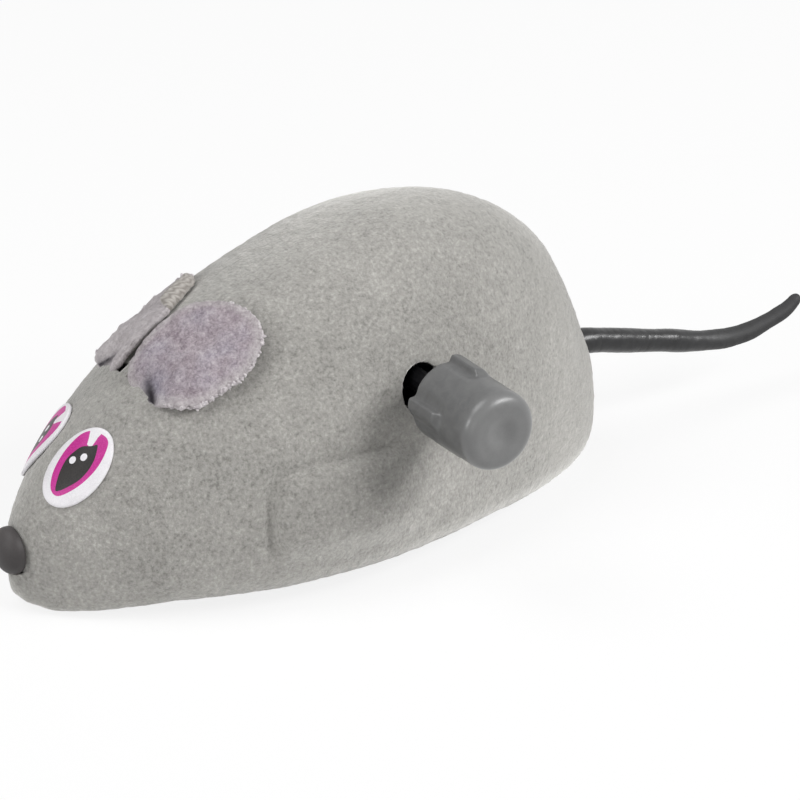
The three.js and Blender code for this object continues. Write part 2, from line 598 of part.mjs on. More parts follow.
// Base plate: follows the shell's rim, with slots, screw recesses, two motor posts and the roller's ears
function basePlate() {
  const outline = [];
  const rear = rimEnd(INSIDE, -1) + PLATE_END_GAP;
  const front = rimEnd(INSIDE, 1) - PLATE_END_GAP;
  const steps = 22;
  for (let i = 0; i <= steps; i++) {
    const x = THREE.MathUtils.lerp(rear, front, (1 - Math.cos((Math.PI * i) / steps)) / 2);
    outline.push(new THREE.Vector2(x, -Math.max(SEAT_GAP, rimAt(INSIDE, x) - PLATE_CLEARANCE)));
  }
  const mirrored = outline.map((p) => new THREE.Vector2(p.x, -p.y)).reverse();
  const shape = new THREE.Shape([...outline, ...mirrored]);
  const slot = (x, halfLength, y0, y1) => {
    const corners = [[x - halfLength, y0], [x + halfLength, y0], [x + halfLength, y1], [x - halfLength, y1]];
    shape.holes.push(new THREE.Path(corners.map(([a, b]) => new THREE.Vector2(a, b))));
  };
  const wheelRise = Math.max(0, AXLE.y - PLATE_THICKNESS);
  const wheelReach = Math.sqrt(WHEEL_RADIUS ** 2 - wheelRise ** 2) + SLOT_MARGIN;
  slot(AXLE_X, wheelReach, WHEEL_INNER - SLOT_MARGIN, WHEEL_OUTER + SLOT_MARGIN);
  slot(AXLE_X, wheelReach, -WHEEL_OUTER - SLOT_MARGIN, -WHEEL_INNER + SLOT_MARGIN);
  const rollerHalf = ROLLER_WIDTH / 2 + SLOT_MARGIN;
  slot(ROLLER_X, ROLLER_RADIUS + SLOT_MARGIN, -rollerHalf, rollerHalf);
  let plate = extrudedUp(shape, 0, PLATE_THICKNESS);
  for (const x of [FRONT_FOOT_X, REAR_FOOT_X]) {
    plate = plate.add(post(BOSS_RADIUS, 0, FOOT_BAR_BASE, x, 0));
  }
  const earInner = ROLLER_WIDTH / 2 + ROLLER_EAR_GAP;
  const earHalf = ROLLER_PIN_RADIUS + ROLLER_EAR_WALL;
  const [earRear, earFront] = [ROLLER_X - earHalf, ROLLER_X + earHalf];
  for (const y of [earInner, -earInner - ROLLER_EAR_THICKNESS]) {
    plate = plate.add(block(earRear, earFront, y, y + ROLLER_EAR_THICKNESS, 0, ROLLER_Z + earHalf));
  }
  const [pinRadius, pinReach] = [ROLLER_PIN_RADIUS + RUNNING_GAP, BODY_WIDTH / 2];
  plate = plate.subtract(rod(pinRadius, -pinReach, pinReach, "y", ROLLER_X, 0, ROLLER_Z, SMALL_SIDES));
  for (const x of [FRONT_BOSS_X, REAR_BOSS_X, FRONT_FOOT_X, REAR_FOOT_X]) {
    plate = plate.subtract(post(SCREW_HEAD_RADIUS + RUNNING_GAP, -1, SCREW_RECESS, x, 0));
    plate = plate.subtract(post(SCREW_RADIUS + RUNNING_GAP, 0, FOOT_BAR_BASE + 1, x, 0));
  }
  return plate;
}

// A pan-head screw from below, its head in the base plate's recess
function screw(x) {
  const headBase = SCREW_RECESS - SCREW_HEAD_HEIGHT;
  const profile = [[0, headBase], [SCREW_HEAD_RADIUS, headBase], [SCREW_HEAD_RADIUS, SCREW_RECESS]];
  profile.push([SCREW_RADIUS, SCREW_RECESS], [SCREW_RADIUS, SCREW_RECESS + SCREW_LENGTH - SCREW_RADIUS]);
  profile.push([SCREW_RADIUS / 4, SCREW_RECESS + SCREW_LENGTH], [0, SCREW_RECESS + SCREW_LENGTH]);
  const half = SCREW_SLOT_WIDTH / 2;
  const depth = headBase + SCREW_SLOT_DEPTH;
  const reach = SCREW_SLOT_REACH;
  return turned(profile, "z", x, 0, 0, SMALL_SIDES)
    .subtract(block(x - reach, x + reach, -half, half, -1, depth))
    .subtract(block(x - half, x + half, -reach, reach, -1, depth));
}

// The convex outline round a set of circles
function hullOutline(circles) {
  const points = circles.flatMap(([centre, radius]) =>
    circlePath(radius, centre.x, centre.y).getPoints(),
  );
  points.sort((a, b) => a.x - b.x || a.y - b.y);
  const half = (list) => {
    const chain = [];
    for (const p of list) {
      while (chain.length > 1) {
        const [a, b] = chain.slice(-2);
        if ((b.x - a.x) * (p.y - a.y) - (b.y - a.y) * (p.x - a.x) > 1e-6) break;
        chain.pop();
      }
      chain.push(p);
    }
    return chain.slice(0, -1);
  };
  return [...half(points), ...half(points.slice().reverse())];
}

// A motor side plate with its pivot and pillar holes
function motorPlate(y0) {
  const round = PILLAR_RADIUS + MOTOR_PLATE_MARGIN;
  const foot = FOOT_BAR_SIZE / 2 + MOTOR_PLATE_MARGIN / 2;
  const shape = new THREE.Shape(
    hullOutline([[FRONT_PILLAR, round], [REAR_PILLAR, round], [FRONT_FOOT, foot], [REAR_FOOT, foot]]),
  );
  const holes = [[ARBOR, ARBOR_RADIUS], [SECOND, SECOND_ARBOR_RADIUS], [AXLE, AXLE_RADIUS]];
  for (const seat of [FRONT_PILLAR, REAR_PILLAR, FRONT_FOOT, REAR_FOOT]) {
    holes.push([seat, PILLAR_TENON_RADIUS]);
  }
  for (const [centre, radius] of holes) {
    shape.holes.push(circlePath(radius + RUNNING_GAP, centre.x, centre.y, SMALL_SIDES));
  }
  return extrudedAcross(shape, y0, y0 + MOTOR_PLATE);
}

const TENON_END = MOTOR_OUTER + PILLAR_TENON_PROUD;

function pillar(centre) {
  const tenon = PILLAR_TENON_RADIUS;
  const profile = [[0, -TENON_END], [tenon, -TENON_END], [tenon, -MOTOR_HALF], [PILLAR_RADIUS, -MOTOR_HALF]];
  profile.push([PILLAR_RADIUS, MOTOR_HALF], [tenon, MOTOR_HALF], [tenon, TENON_END], [0, TENON_END]);
  return turned(profile, "y", centre.x, 0, centre.y, SMALL_SIDES);
}

// A square bar between the motor plates, with a threaded hole for the screw from below
function footBar(centre) {
  const half = FOOT_BAR_SIZE / 2;
  const [rear, front] = [centre.x - half, centre.x + half];
  const bar = block(rear, front, -MOTOR_HALF, MOTOR_HALF, FOOT_BAR_BASE, FOOT_BAR_BASE + FOOT_BAR_SIZE);
  const tenons = rod(PILLAR_TENON_RADIUS, -TENON_END, TENON_END, "y", centre.x, 0, centre.y, SMALL_SIDES);
  return bar.add(tenons).subtract(post(SCREW_RADIUS + RUNNING_GAP, 0, BODY_HEIGHT, centre.x, 0));
}

// An involute gear outline with a tooth centred on the given angle
function gearOutline(teeth, phase) {
  const pitch = pitchRadius(teeth);
  const base = pitch * Math.cos(PRESSURE_ANGLE);
  const involute = (a) => Math.tan(a) - a;
  const halfAngle = (radius) => {
    const a = Math.acos(base / Math.max(radius, base));
    return (Math.PI / 2 - BACKLASH / MODULE / 2) / teeth + involute(PRESSURE_ANGLE) - involute(a);
  };
  const root = pitch - DEDENDUM * MODULE;
  const tip = tipRadius(teeth);
  const flank = [root, Math.max(base, (root + pitch) / 2), pitch, tip];
  const points = [];
  for (let i = 0; i < teeth; i++) {
    const centre = phase + (2 * Math.PI * i) / teeth;
    for (const radius of flank) points.push(polar(radius, centre - halfAngle(radius)));
    for (const radius of flank.slice().reverse()) points.push(polar(radius, centre + halfAngle(radius)));
  }
  return points;
}

function gear(teeth, phase, bore, centre, y0, y1) {
  const shape = new THREE.Shape(gearOutline(teeth, phase));
  shape.holes.push(circlePath(bore + RUNNING_GAP, 0, 0, SMALL_SIDES));
  return extrudedAcross(shape, y0, y1, centre.x, centre.y);
}

// Where the line to a neighbour lies: one gear has a tooth there, the other a space
const lineAngle = (from, to) => Math.atan2(to.y - from.y, to.x - from.x);
const spaceAt = (teeth, angle) => angle + Math.PI / teeth;

// The great wheel carries the stud that the click turns on
function greatWheel() {
  const phase = lineAngle(ARBOR, SECOND);
  const wheel = gear(GREAT_TEETH, phase, ARBOR_RADIUS, ARBOR, GREAT_Y, GREAT_Y + GEAR_THICKNESS);
  const stud = polar(CLICK_STUD_REACH, CLICK_STUD_ANGLE).add(ARBOR);
  const [from, to] = [RATCHET_Y - SEAT_GAP, GREAT_Y + GEAR_THICKNESS / 2];
  return wheel.add(rod(CLICK_STUD_RADIUS, from, to, "y", stud.x, 0, stud.y, SMALL_SIDES));
}

// Saw teeth: the steep side drives as the spring runs down
function ratchetWheel() {
  const points = [];
  for (let i = 0; i < RATCHET_TEETH; i++) {
    const angle = (2 * Math.PI * i) / RATCHET_TEETH;
    points.push(polar(RATCHET_RADIUS - RATCHET_DEPTH, angle), polar(RATCHET_RADIUS, angle + RATCHET_RAKE));
  }
  const shape = new THREE.Shape(points);
  shape.holes.push(circlePath(ARBOR_RADIUS + RUNNING_GAP, 0, 0, SMALL_SIDES));
  return extrudedAcross(shape, RATCHET_Y, RATCHET_Y + RATCHET_THICKNESS, ARBOR.x, ARBOR.y);
}

// The click: a spring finger from its stud to the foot of a ratchet tooth
function click() {
  const stud = polar(CLICK_STUD_REACH, CLICK_STUD_ANGLE);
  const pitch = (2 * Math.PI) / RATCHET_TEETH;
  const tooth = Math.ceil(CLICK_STUD_ANGLE / pitch + CLICK_LEAD) * pitch;
  const gapAngle = (SEAT_GAP + CLICK_THICKNESS) / RATCHET_RADIUS;
  const tip = polar(RATCHET_RADIUS - CLICK_BITE + SEAT_GAP, tooth - gapAngle);
  const way = tip.clone().sub(stud).normalize();
  const across = new THREE.Vector2(-way.y, way.x).multiplyScalar(CLICK_THICKNESS / 2);
  const holeRadius = CLICK_STUD_RADIUS + RUNNING_GAP;
  const start = stud.clone().addScaledVector(way, holeRadius);
  const corners = [start.clone().sub(across), tip.clone().sub(across)];
  corners.push(tip.clone().add(across), start.clone().add(across));
  const cut = (shape) => extrudedAcross(shape, RATCHET_Y, RATCHET_Y + RATCHET_THICKNESS, ARBOR.x, ARBOR.y);
  const finger = cut(new THREE.Shape(corners));
  const eyelet = cut(new THREE.Shape(circlePath(CLICK_EYE_RADIUS, stud.x, stud.y, SMALL_SIDES).getPoints()));
  const [holeX, holeZ] = [ARBOR.x + stud.x, ARBOR.y + stud.y];
  const hole = rod(holeRadius, -MOTOR_HALF, MOTOR_HALF, "y", holeX, 0, holeZ, SMALL_SIDES);
  return finger.add(eyelet).subtract(hole);
}

// The mainspring: a spiral strip whose outer end hooks round the front pillar
function mainspring() {
  const inner = ARBOR_RADIUS + SEAT_GAP + SPRING_THICKNESS / 2;
  const hookRadius = PILLAR_RADIUS + SEAT_GAP + SPRING_THICKNESS / 2;
  const hook = FRONT_PILLAR.clone().sub(ARBOR);
  const reach = hook.length() - hookRadius;
  const steps = Math.round(SPRING_TURNS * SPRING_STEPS_PER_TURN);
  const line = [];
  for (let i = 0; i <= steps; i++) {
    const share = i / steps;
    const left = (1 - share) * SPRING_TURNS;
    const flare = (reach - SPRING_OUTER_RADIUS) * Math.max(0, 1 - left / SPRING_RUN_OUT) ** 2;
    const coil = THREE.MathUtils.lerp(inner, SPRING_OUTER_RADIUS, share);
    line.push(polar(coil + flare, FRONT_PILLAR_ANGLE + 2 * Math.PI * left));
  }
  const bendSteps = 8;
  for (let i = 1; i <= bendSteps; i++) {
    line.push(polar(hookRadius, FRONT_PILLAR_ANGLE + Math.PI + (Math.PI * i) / bendSteps).add(hook));
  }
  const edge = (offset) =>
    line.map((p, i) => {
      const way = line[Math.min(i + 1, line.length - 1)].clone().sub(line[Math.max(i - 1, 0)]).normalize();
      return new THREE.Vector2(p.x - way.y * offset, p.y + way.x * offset);
    });
  const half = SPRING_THICKNESS / 2;
  const strip = new THREE.Shape([...edge(half), ...edge(-half).reverse()]);
  return extrudedAcross(strip, SPRING_Y, SPRING_Y + SPRING_WIDTH, ARBOR.x, ARBOR.y);
}

// Shafts run through both motor plates
const shaftEnd = MOTOR_OUTER + SHAFT_END;
const KNOB_BASE = flankAt(ARBOR_X, ARBOR_Z) + KNOB_STANDOFF;

function windingArbor() {
  const end = KNOB_BASE + KNOB_BORE_DEPTH - SEAT_GAP;
  return rod(ARBOR_RADIUS, -shaftEnd, end, "y", ARBOR.x, 0, ARBOR.y, SMALL_SIDES);
}

function windingKnob() {
  const edge = KNOB_EDGE;
  const profile = [[0, 0], [KNOB_RADIUS - edge / 2, 0], [KNOB_RADIUS, edge / 2]];
  profile.push([KNOB_RADIUS, KNOB_LENGTH - edge]);
  const steps = 3;
  for (let i = 1; i <= steps; i++) {
    const turn = polar(edge, (Math.PI / 2) * (i / steps));
    profile.push([KNOB_RADIUS - edge + turn.x, KNOB_LENGTH - edge + turn.y]);
  }
  const floor = KNOB_LENGTH - KNOB_DIMPLE_DEPTH;
  profile.push([KNOB_DIMPLE_RADIUS, KNOB_LENGTH], [KNOB_DIMPLE_FLOOR, floor], [0, floor]);
  let knob = turned(profile, "y", ARBOR.x, KNOB_BASE, ARBOR.y);
  const fin = new THREE.Shape();
  const round = KNOB_FIN_REACH - KNOB_RADIUS;
  fin.moveTo(ARBOR_RADIUS, 0).lineTo(KNOB_FIN_REACH - round, 0);
  fin.absarc(KNOB_FIN_REACH - round, round, round, -Math.PI / 2, 0, false);
  fin.lineTo(KNOB_FIN_REACH, KNOB_FIN_LENGTH - round);
  fin.absarc(KNOB_FIN_REACH - round, KNOB_FIN_LENGTH - round, round, 0, Math.PI / 2, false);
  fin.lineTo(ARBOR_RADIUS, KNOB_FIN_LENGTH);
  for (let i = 0; i < KNOB_FIN_COUNT; i++) {
    const form = { depth: KNOB_FIN_THICKNESS, bevelEnabled: false, curveSegments: 3 };
    const blade = new THREE.ExtrudeGeometry(fin, form).translate(0, 0, -KNOB_FIN_THICKNESS / 2);
    blade.rotateY(KNOB_FIN_ANGLE + (2 * Math.PI * i) / KNOB_FIN_COUNT);
    knob = knob.add(solid(blade.translate(ARBOR.x, KNOB_BASE, ARBOR.y)));
  }
  const boreRadius = ARBOR_RADIUS + RUNNING_GAP;
  return knob.subtract(rod(boreRadius, -1, KNOB_BORE_DEPTH, "y", ARBOR.x, KNOB_BASE, ARBOR.y, SMALL_SIDES));
}

// A wheel hub with a groove for its tyre, and the tyre
const HUB_RADIUS = WHEEL_RADIUS - TYRE_THICKNESS;

function wheelHub(side) {
  const groove = HUB_RADIUS - TYRE_LIP;
  const lip = WHEEL_LIP;
  const bore = AXLE_RADIUS + RUNNING_GAP;
  const profile = [[bore, 0], [HUB_RADIUS, 0], [HUB_RADIUS, lip], [groove, lip], [groove, WHEEL_WIDTH - lip]];
  profile.push([HUB_RADIUS, WHEEL_WIDTH - lip], [HUB_RADIUS, WHEEL_WIDTH], [bore, WHEEL_WIDTH], [bore, 0]);
  return turned(profile, "y", AXLE.x, side > 0 ? WHEEL_INNER : -WHEEL_OUTER, AXLE.y);
}

function tyre(side) {
  const lip = WHEEL_LIP + RUNNING_GAP;
  const groove = HUB_RADIUS - TYRE_LIP + RUNNING_GAP;
  const rim = HUB_RADIUS + RUNNING_GAP;
  const shoulder = WHEEL_RADIUS - TYRE_SHOULDER_DROP;
  const profile = [[rim, 0], [shoulder, 0], [WHEEL_RADIUS, TYRE_SHOULDER]];
  profile.push([WHEEL_RADIUS, WHEEL_WIDTH - TYRE_SHOULDER], [shoulder, WHEEL_WIDTH], [rim, WHEEL_WIDTH]);
  profile.push([rim, WHEEL_WIDTH - lip], [groove, WHEEL_WIDTH - lip], [groove, lip], [rim, lip], [rim, 0]);
  return turned(profile, "y", AXLE.x, side > 0 ? WHEEL_INNER : -WHEEL_OUTER, AXLE.y, TREAD_SIDES);
}

function frontRoller() {
  const half = ROLLER_WIDTH / 2;
  const bore = ROLLER_PIN_RADIUS + RUNNING_GAP;
  const edge = ROLLER_EDGE;
  const profile = [[bore, -half], [ROLLER_RADIUS - edge, -half], [ROLLER_RADIUS, edge - half]];
  profile.push([ROLLER_RADIUS, half - edge], [ROLLER_RADIUS - edge, half], [bore, half], [bore, -half]);
  return turned(profile, "y", ROLLER_X, 0, ROLLER_Z, TREAD_SIDES);
}

// Finishes
function finish(color, roughness, metalness = 0) {
  return new THREE.MeshStandardMaterial({ color, roughness, metalness });
}
const FLOCK = finish(0xa4a19c, 1);
const EAR_PILE = finish(0xa59ba1, 1);
const EYE_PRINT = finish(0xf2f0f2, 0.35);
const NOSE_PLASTIC = finish(0x2a2728, 0.35);
const TAIL_RUBBER = finish(0x161617, 0.4);
const KNOB_PLASTIC = finish(0x757575, 0.45);
const BASE_PLASTIC = finish(0x3a3a3c, 0.6);
const STEEL = finish(0xb8bbbf, 0.35, 1);
const SPRING_STEEL = finish(0x5d6570, 0.35, 1);
const GEAR_PLASTIC = finish(0xe4e0d2, 0.5);
const TYRE_RUBBER = finish(0x1c1c1e, 0.8);

const mouse = new THREE.Group();

function place(name, shape, material) {
  const mesh = new THREE.Mesh(geometryOf(shape), material);
  mesh.name = name;
  mouse.add(mesh);
}

place("body_shell", bodyShell(), FLOCK);
place("base_plate", basePlate(), BASE_PLASTIC);
place("nose", nose(), NOSE_PLASTIC);
place("tail", tail(), TAIL_RUBBER);
for (const [name, side] of [["left", 1], ["right", -1]]) {
  place(`ear_${name}`, ear(side), EAR_PILE);
  place(`eye_${name}`, eye(side), EYE_PRINT);
  place(`motor_plate_${name}`, motorPlate(side > 0 ? MOTOR_HALF : -MOTOR_OUTER), STEEL);
  place(`wheel_${name}`, wheelHub(side), BASE_PLASTIC);
  place(`tyre_${name}`, tyre(side), TYRE_RUBBER);
}
place("base_screw_front", screw(FRONT_BOSS_X), STEEL);
place("base_screw_rear", screw(REAR_BOSS_X), STEEL);
place("motor_screw_front", screw(FRONT_FOOT_X), STEEL);
place("motor_screw_rear", screw(REAR_FOOT_X), STEEL);
place("pillar_front", pillar(FRONT_PILLAR), STEEL);
place("pillar_rear", pillar(REAR_PILLAR), STEEL);
place("foot_bar_front", footBar(FRONT_FOOT), STEEL);
place("foot_bar_rear", footBar(REAR_FOOT), STEEL);
place("winding_knob", windingKnob(), KNOB_PLASTIC);
place("winding_arbor", windingArbor(), STEEL);
place("mainspring", mainspring(), SPRING_STEEL);
place("ratchet_wheel", ratchetWheel(), STEEL);
place("great_wheel", greatWheel(), GEAR_PLASTIC);
place("click", click(), SPRING_STEEL);

// The middle and last stages of the train, and the roller's pin
function shaft(radius, half, { x, y }) {
  return rod(radius, -half, half, "y", x, 0, y, SMALL_SIDES);
}

// A pinion reaches past the gear that it meets, on both sides
function pinion(teeth, bore, centre, partner, gearY) {
  const phase = spaceAt(teeth, lineAngle(centre, partner));
  const extra = PINION_EXTRA / 2;
  return gear(teeth, phase, bore, centre, gearY - extra, gearY + GEAR_THICKNESS + extra);
}

function secondGear() {
  const phase = lineAngle(SECOND, AXLE);
  return gear(SECOND_TEETH, phase, SECOND_ARBOR_RADIUS, SECOND, SECOND_Y, SECOND_Y + GEAR_THICKNESS);
}

const ROLLER = new THREE.Vector2(ROLLER_X, ROLLER_Z);
const pinEnd = ROLLER_WIDTH / 2 + ROLLER_EAR_GAP + ROLLER_EAR_THICKNESS + SHAFT_END;
place("second_arbor", shaft(SECOND_ARBOR_RADIUS, shaftEnd, SECOND), STEEL);
const secondPinion = pinion(SECOND_PINION_TEETH, SECOND_ARBOR_RADIUS, SECOND, ARBOR, GREAT_Y);
place("second_pinion", secondPinion, GEAR_PLASTIC);
place("second_gear", secondGear(), GEAR_PLASTIC);
place("axle_pinion", pinion(AXLE_PINION_TEETH, AXLE_RADIUS, AXLE, SECOND, SECOND_Y), GEAR_PLASTIC);
place("drive_axle", shaft(AXLE_RADIUS, WHEEL_OUTER + SHAFT_END, AXLE), STEEL);
place("front_axle", shaft(ROLLER_PIN_RADIUS, pinEnd, ROLLER), STEEL);
place("front_roller", frontRoller(), BASE_PLASTIC);

export default mouse;
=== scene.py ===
import json
import math
import random

import bpy
import numpy as np
from mathutils import Matrix, Vector, geometry, noise
from mathutils.bvhtree import BVHTree


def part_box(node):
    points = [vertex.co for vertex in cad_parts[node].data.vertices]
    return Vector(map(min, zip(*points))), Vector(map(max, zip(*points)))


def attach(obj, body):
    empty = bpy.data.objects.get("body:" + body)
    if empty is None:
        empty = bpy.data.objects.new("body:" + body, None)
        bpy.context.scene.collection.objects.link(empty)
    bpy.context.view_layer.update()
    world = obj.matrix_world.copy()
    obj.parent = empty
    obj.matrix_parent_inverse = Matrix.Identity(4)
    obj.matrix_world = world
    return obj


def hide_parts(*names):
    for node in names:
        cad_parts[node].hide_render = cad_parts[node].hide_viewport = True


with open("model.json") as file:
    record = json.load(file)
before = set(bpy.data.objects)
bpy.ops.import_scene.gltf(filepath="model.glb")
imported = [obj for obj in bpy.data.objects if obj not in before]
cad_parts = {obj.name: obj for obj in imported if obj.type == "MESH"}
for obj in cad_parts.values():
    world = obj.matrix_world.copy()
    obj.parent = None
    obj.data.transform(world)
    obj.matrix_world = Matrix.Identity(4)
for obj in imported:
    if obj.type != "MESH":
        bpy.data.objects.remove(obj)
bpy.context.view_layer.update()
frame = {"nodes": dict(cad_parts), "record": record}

MM = 0.001

# Body form in millimetres: rear end, nose end, half width and rise of the back over the widest line
OUTSIDE = (-36.0, 36.0, 18.2, 28.1)
INSIDE = (-34.8, 32.6, 17.0, 26.9)
GIRTH_Z = 5.1
BELLY_DEPTH = 6.8
WIDTH_ARC = (0.534, (1.69, 0.587), (1.94, 0.727))
BACK_ARC = (0.377, (2.52, 0.596), (1.63, 0.689))
BELLY_ARC = (0.671, (3.62, 0.221), (5.28, 0.2))
ACROSS_POWER = 2.15
UP_POWER = 1.67
LOWER_POWER = 3.0
# Foreleg: middle, half sizes and corners of its raised field, its edges, and where it runs out
LEG = {"x": 3.9, "z": 5.0, "half": 9.8, "tall": 8.5, "power": 4.6}
LEG_EDGE = {"rise": 1.0, "front": 1.3, "top": 2.3, "groove": 0.5, "groove_width": 0.6}
LEG_FADE = 10.0
LEG_FOOT = (3.4, 7.4)
# The lower edge dips at the chin and the rump and lifts between them: place along X and its shift
EDGE_PLACES = (-36.0, -30.0, -25.0, -21.5, -15.0, -6.0, 4.0, 13.0, 22.5, 26.0, 29.5, 33.0, 35.0, 36.0)
EDGE_SHIFTS = (-0.6, -0.6, -0.2, 0.0, 0.55, 0.5, 0.35, 0.2, 0.0, -0.45, -1.0, -1.42, -0.9, 0.0)
HUMP = {"x": -4.0, "reach": 9.0, "rise": 0.45}
# The rump is drawn in above the tail: how deep, and where along X and up Z that comes in
RUMP_DIP = 0.5
RUMP_XS = (-28.0, -33.0)
RUMP_ZS = (9.0, 15.0)
# Unevenness of the flock: height, size and shift of each wave
FLOCK_RIPPLES = ((0.05, 0.5, 0.0), (0.06, 1.2, 7.0), (0.16, 7.5, 3.0))
RIM_ROUND = 0.9

# Places of what the shell holds
ARBOR_X, ARBOR_Z = -4.6, 19.3
KNOB_HOLE = (-4.8, 18.4)
KNOB_HOLE_RADIUS = 2.65
KNOB_HOLE_LIP = 0.4
KNOB_HOLE_FRAY = 0.2
TAIL_Z = 10.5
TAIL_HOLE_RADIUS = 1.62
TAIL_HOLE_LIP = 0.7
TAIL_WALL_X = -32.0
NOSE_SEAT_X = 35.2
NOSE_SEAT_RADIUS = 2.62
STEM_RADIUS = 1.2
STEM_XS = (29.0, 35.0)
BOSS_XS = (26.5, -26.4)
BOSS_RADIUS, BOSS_BASE = 2.2, 1.6
PILOT_RADIUS, PILOT_TOP = 1.15, 7.6
EAR_SLIT = {"x": 21.4, "y": 3.2, "half_width": 0.65, "half_length": 2.6, "depth": 3.2, "above": 1.5}
OUTSIDE_REACH = 40.0
AXLE = (-10.0, 5.4)
ROLLER = (18.6, 2.6)
FLOOR_Z = -1.6


# Small helpers
def smoothstep(low, high, value):
    share = np.clip((np.asarray(value, float) - low) / (high - low), 0, 1)
    return share * share * (3 - 2 * share)


def grain(points, size, shift=0.0):
    """Gradient noise, about -0.6 to 0.6, with features of that size in millimetres."""
    places = np.asarray(points, float) / size + shift
    return np.array([noise.noise(place) for place in places.tolist()])


def ripples(points, waves):
    """A sum of noises, each with its height, size and shift."""
    return sum(height * grain(points, size, shift) for height, size, shift in waves)


def around(count):
    """Even steps of a whole turn."""
    return 2 * np.pi * np.arange(count) / count


def unit(vectors):
    return vectors / np.maximum(np.linalg.norm(vectors, axis=-1, keepdims=True), 1e-12)


def between(a, b, c, d, t):
    """Points of a smooth curve from b to c, whose neighbours are a and d."""
    return 0.5 * (2 * b + (c - a) * t + (2 * a - 5 * b + 4 * c - d) * t**2 + (3 * b - a - 3 * c + d) * t**3)


def closed_curve(points, count):
    """A smooth closed curve through points, evenly sampled by parameter."""
    points = np.asarray(points, float)
    at = np.arange(count) * len(points) / count
    start = at.astype(int)
    near = (points[(start + k) % len(points)] for k in (-1, 0, 1, 2))
    return between(*near, (at - start)[:, None])


def open_curve(points, count):
    """A smooth curve through points, evenly sampled by length."""
    points = np.asarray(points, float)
    padded = np.vstack([2 * points[0] - points[1], points, 2 * points[-1] - points[-2]])
    at = np.linspace(0, len(points) - 1, 40 * len(points))
    start = np.minimum(at.astype(int), len(points) - 2)
    near = (padded[start + k] for k in range(4))
    return even_steps(between(*near, (at - start)[:, None]), count)


def even_steps(line, count):
    steps = np.linalg.norm(np.diff(line, axis=0), axis=1)
    run = np.concatenate([[0], np.cumsum(steps)])
    wanted = np.linspace(0, run[-1], count)
    return np.stack([np.interp(wanted, run, line[:, k]) for k in range(line.shape[1])], 1)


def inside_polygon(points, polygon):
    x, y = points[:, 0], points[:, 1]
    inside = np.zeros(len(points), bool)
    for (x0, y0), (x1, y1) in zip(polygon, np.roll(polygon, -1, axis=0)):
        crosses = (y0 > y) != (y1 > y)
        inside ^= crosses & (x < (x1 - x0) * (y - y0) / (y1 - y0 + 1e-12) + x0)
    return inside


# Mesh helpers
def placed(name, data):
    made = bpy.data.objects.new(name, data)
    bpy.context.scene.collection.objects.link(made)
    return made


def piece(name, points, faces, materials, face_materials=None, smooth=True):
    """A mesh object from points in millimetres."""
    mesh = bpy.data.meshes.new(name)
    mesh.from_pydata((np.asarray(points, float) * MM).tolist(), [], [tuple(face) for face in faces])
    for material in materials:
        mesh.materials.append(material)
    if face_materials is not None:
        mesh.polygons.foreach_set("material_index", np.asarray(face_materials, np.int32))
    mesh.polygons.foreach_set("use_smooth", np.full(len(mesh.polygons), smooth))
    mesh.validate()
    mesh.update()
    return placed(name, mesh)


def vertex_normals(points, faces):
    normals = np.zeros_like(points)
    for count in (3, 4):
        group = np.array([face for face in faces if len(face) == count], int).reshape(-1, count)
        a, b, c, d = points[group[:, 0]], points[group[:, 1]], points[group[:, 2]], points[group[:, -1]]
        across = np.cross(c - a, d - b) if count == 4 else np.cross(b - a, c - a)
        for k in range(count):
            np.add.at(normals, group[:, k], across)
    return unit(normals)


def cut(target, cutter):
    """Cuts the cutter out of the target and removes it."""
    modifier = target.modifiers.new("cut", "BOOLEAN")
    modifier.operation = "DIFFERENCE"
    modifier.solver = "MANIFOLD"
    modifier.object = cutter
    evaluated = target.evaluated_get(bpy.context.evaluated_depsgraph_get())
    mesh = bpy.data.meshes.new_from_object(evaluated)
    target.modifiers.clear()
    target.data = mesh
    bpy.data.objects.remove(cutter)


def on_side(side, points, faces):
    """Points and faces of a left piece, mirrored for the right side."""
    if side > 0:
        return points, faces
    return points * np.array([1, -1, 1]), [face[::-1] for face in faces]


def joined_rows(rows, closed=False):
    """Faces between neighbouring closed rows of point numbers; a row of one point is a pole."""
    faces = []
    for low, high in zip(rows, rows[1:] + rows[:1] if closed else rows[1:]):
        count = max(len(low), len(high))
        for k in range(count):
            n = (k + 1) % count
            if len(low) == 1:
                faces.append((low[0], high[n], high[k]))
            elif len(high) == 1:
                faces.append((low[k], low[n], high[0]))
            else:
                faces.append((low[k], low[n], high[n], high[k]))
    return faces


TURNS = {
    "x": np.array([[0, 0, 1], [1, 0, 0], [0, 1, 0]], float),
    "y": np.array([[0, 1, 0], [0, 0, 1], [1, 0, 0]], float),
    "z": np.eye(3),
}


def turned(name, profile, axis, place, sides, materials, radius_of=None, closed=False):
    """A turned piece from pairs of radius and height; radius 0 is a pole, a closed profile makes a ring."""
    turn = around(sides)
    points, rows = [], []
    for radius, height in profile:
        if radius == 0:
            rows.append([len(points)])
            points.append((0, 0, height))
            continue
        radii = np.full(sides, float(radius)) if radius_of is None else radius_of(radius, height, turn)
        rows.append(list(range(len(points), len(points) + sides)))
        points.extend(zip(radii * np.cos(turn), radii * np.sin(turn), np.full(sides, height)))
    shown = np.array(points, float) @ TURNS[axis].T + np.asarray(place, float)
    return piece(name, shown, joined_rows(rows, closed), materials)


def rod(radius, start, end, axis, place, sides=96, radius_of=None):
    profile = [(0, start), (radius, start), (radius, end), (0, end)]
    return turned("cutter", profile, axis, place, sides, [], radius_of)


def finished(made, body, slot, *nodes):
    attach(made, body)
    if nodes:
        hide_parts(*nodes)
    return made


# Material helpers
def new_material(name):
    material = bpy.data.materials.new(name)
    material.use_nodes = True
    tree = material.node_tree
    tree.nodes.clear()
    return material, tree


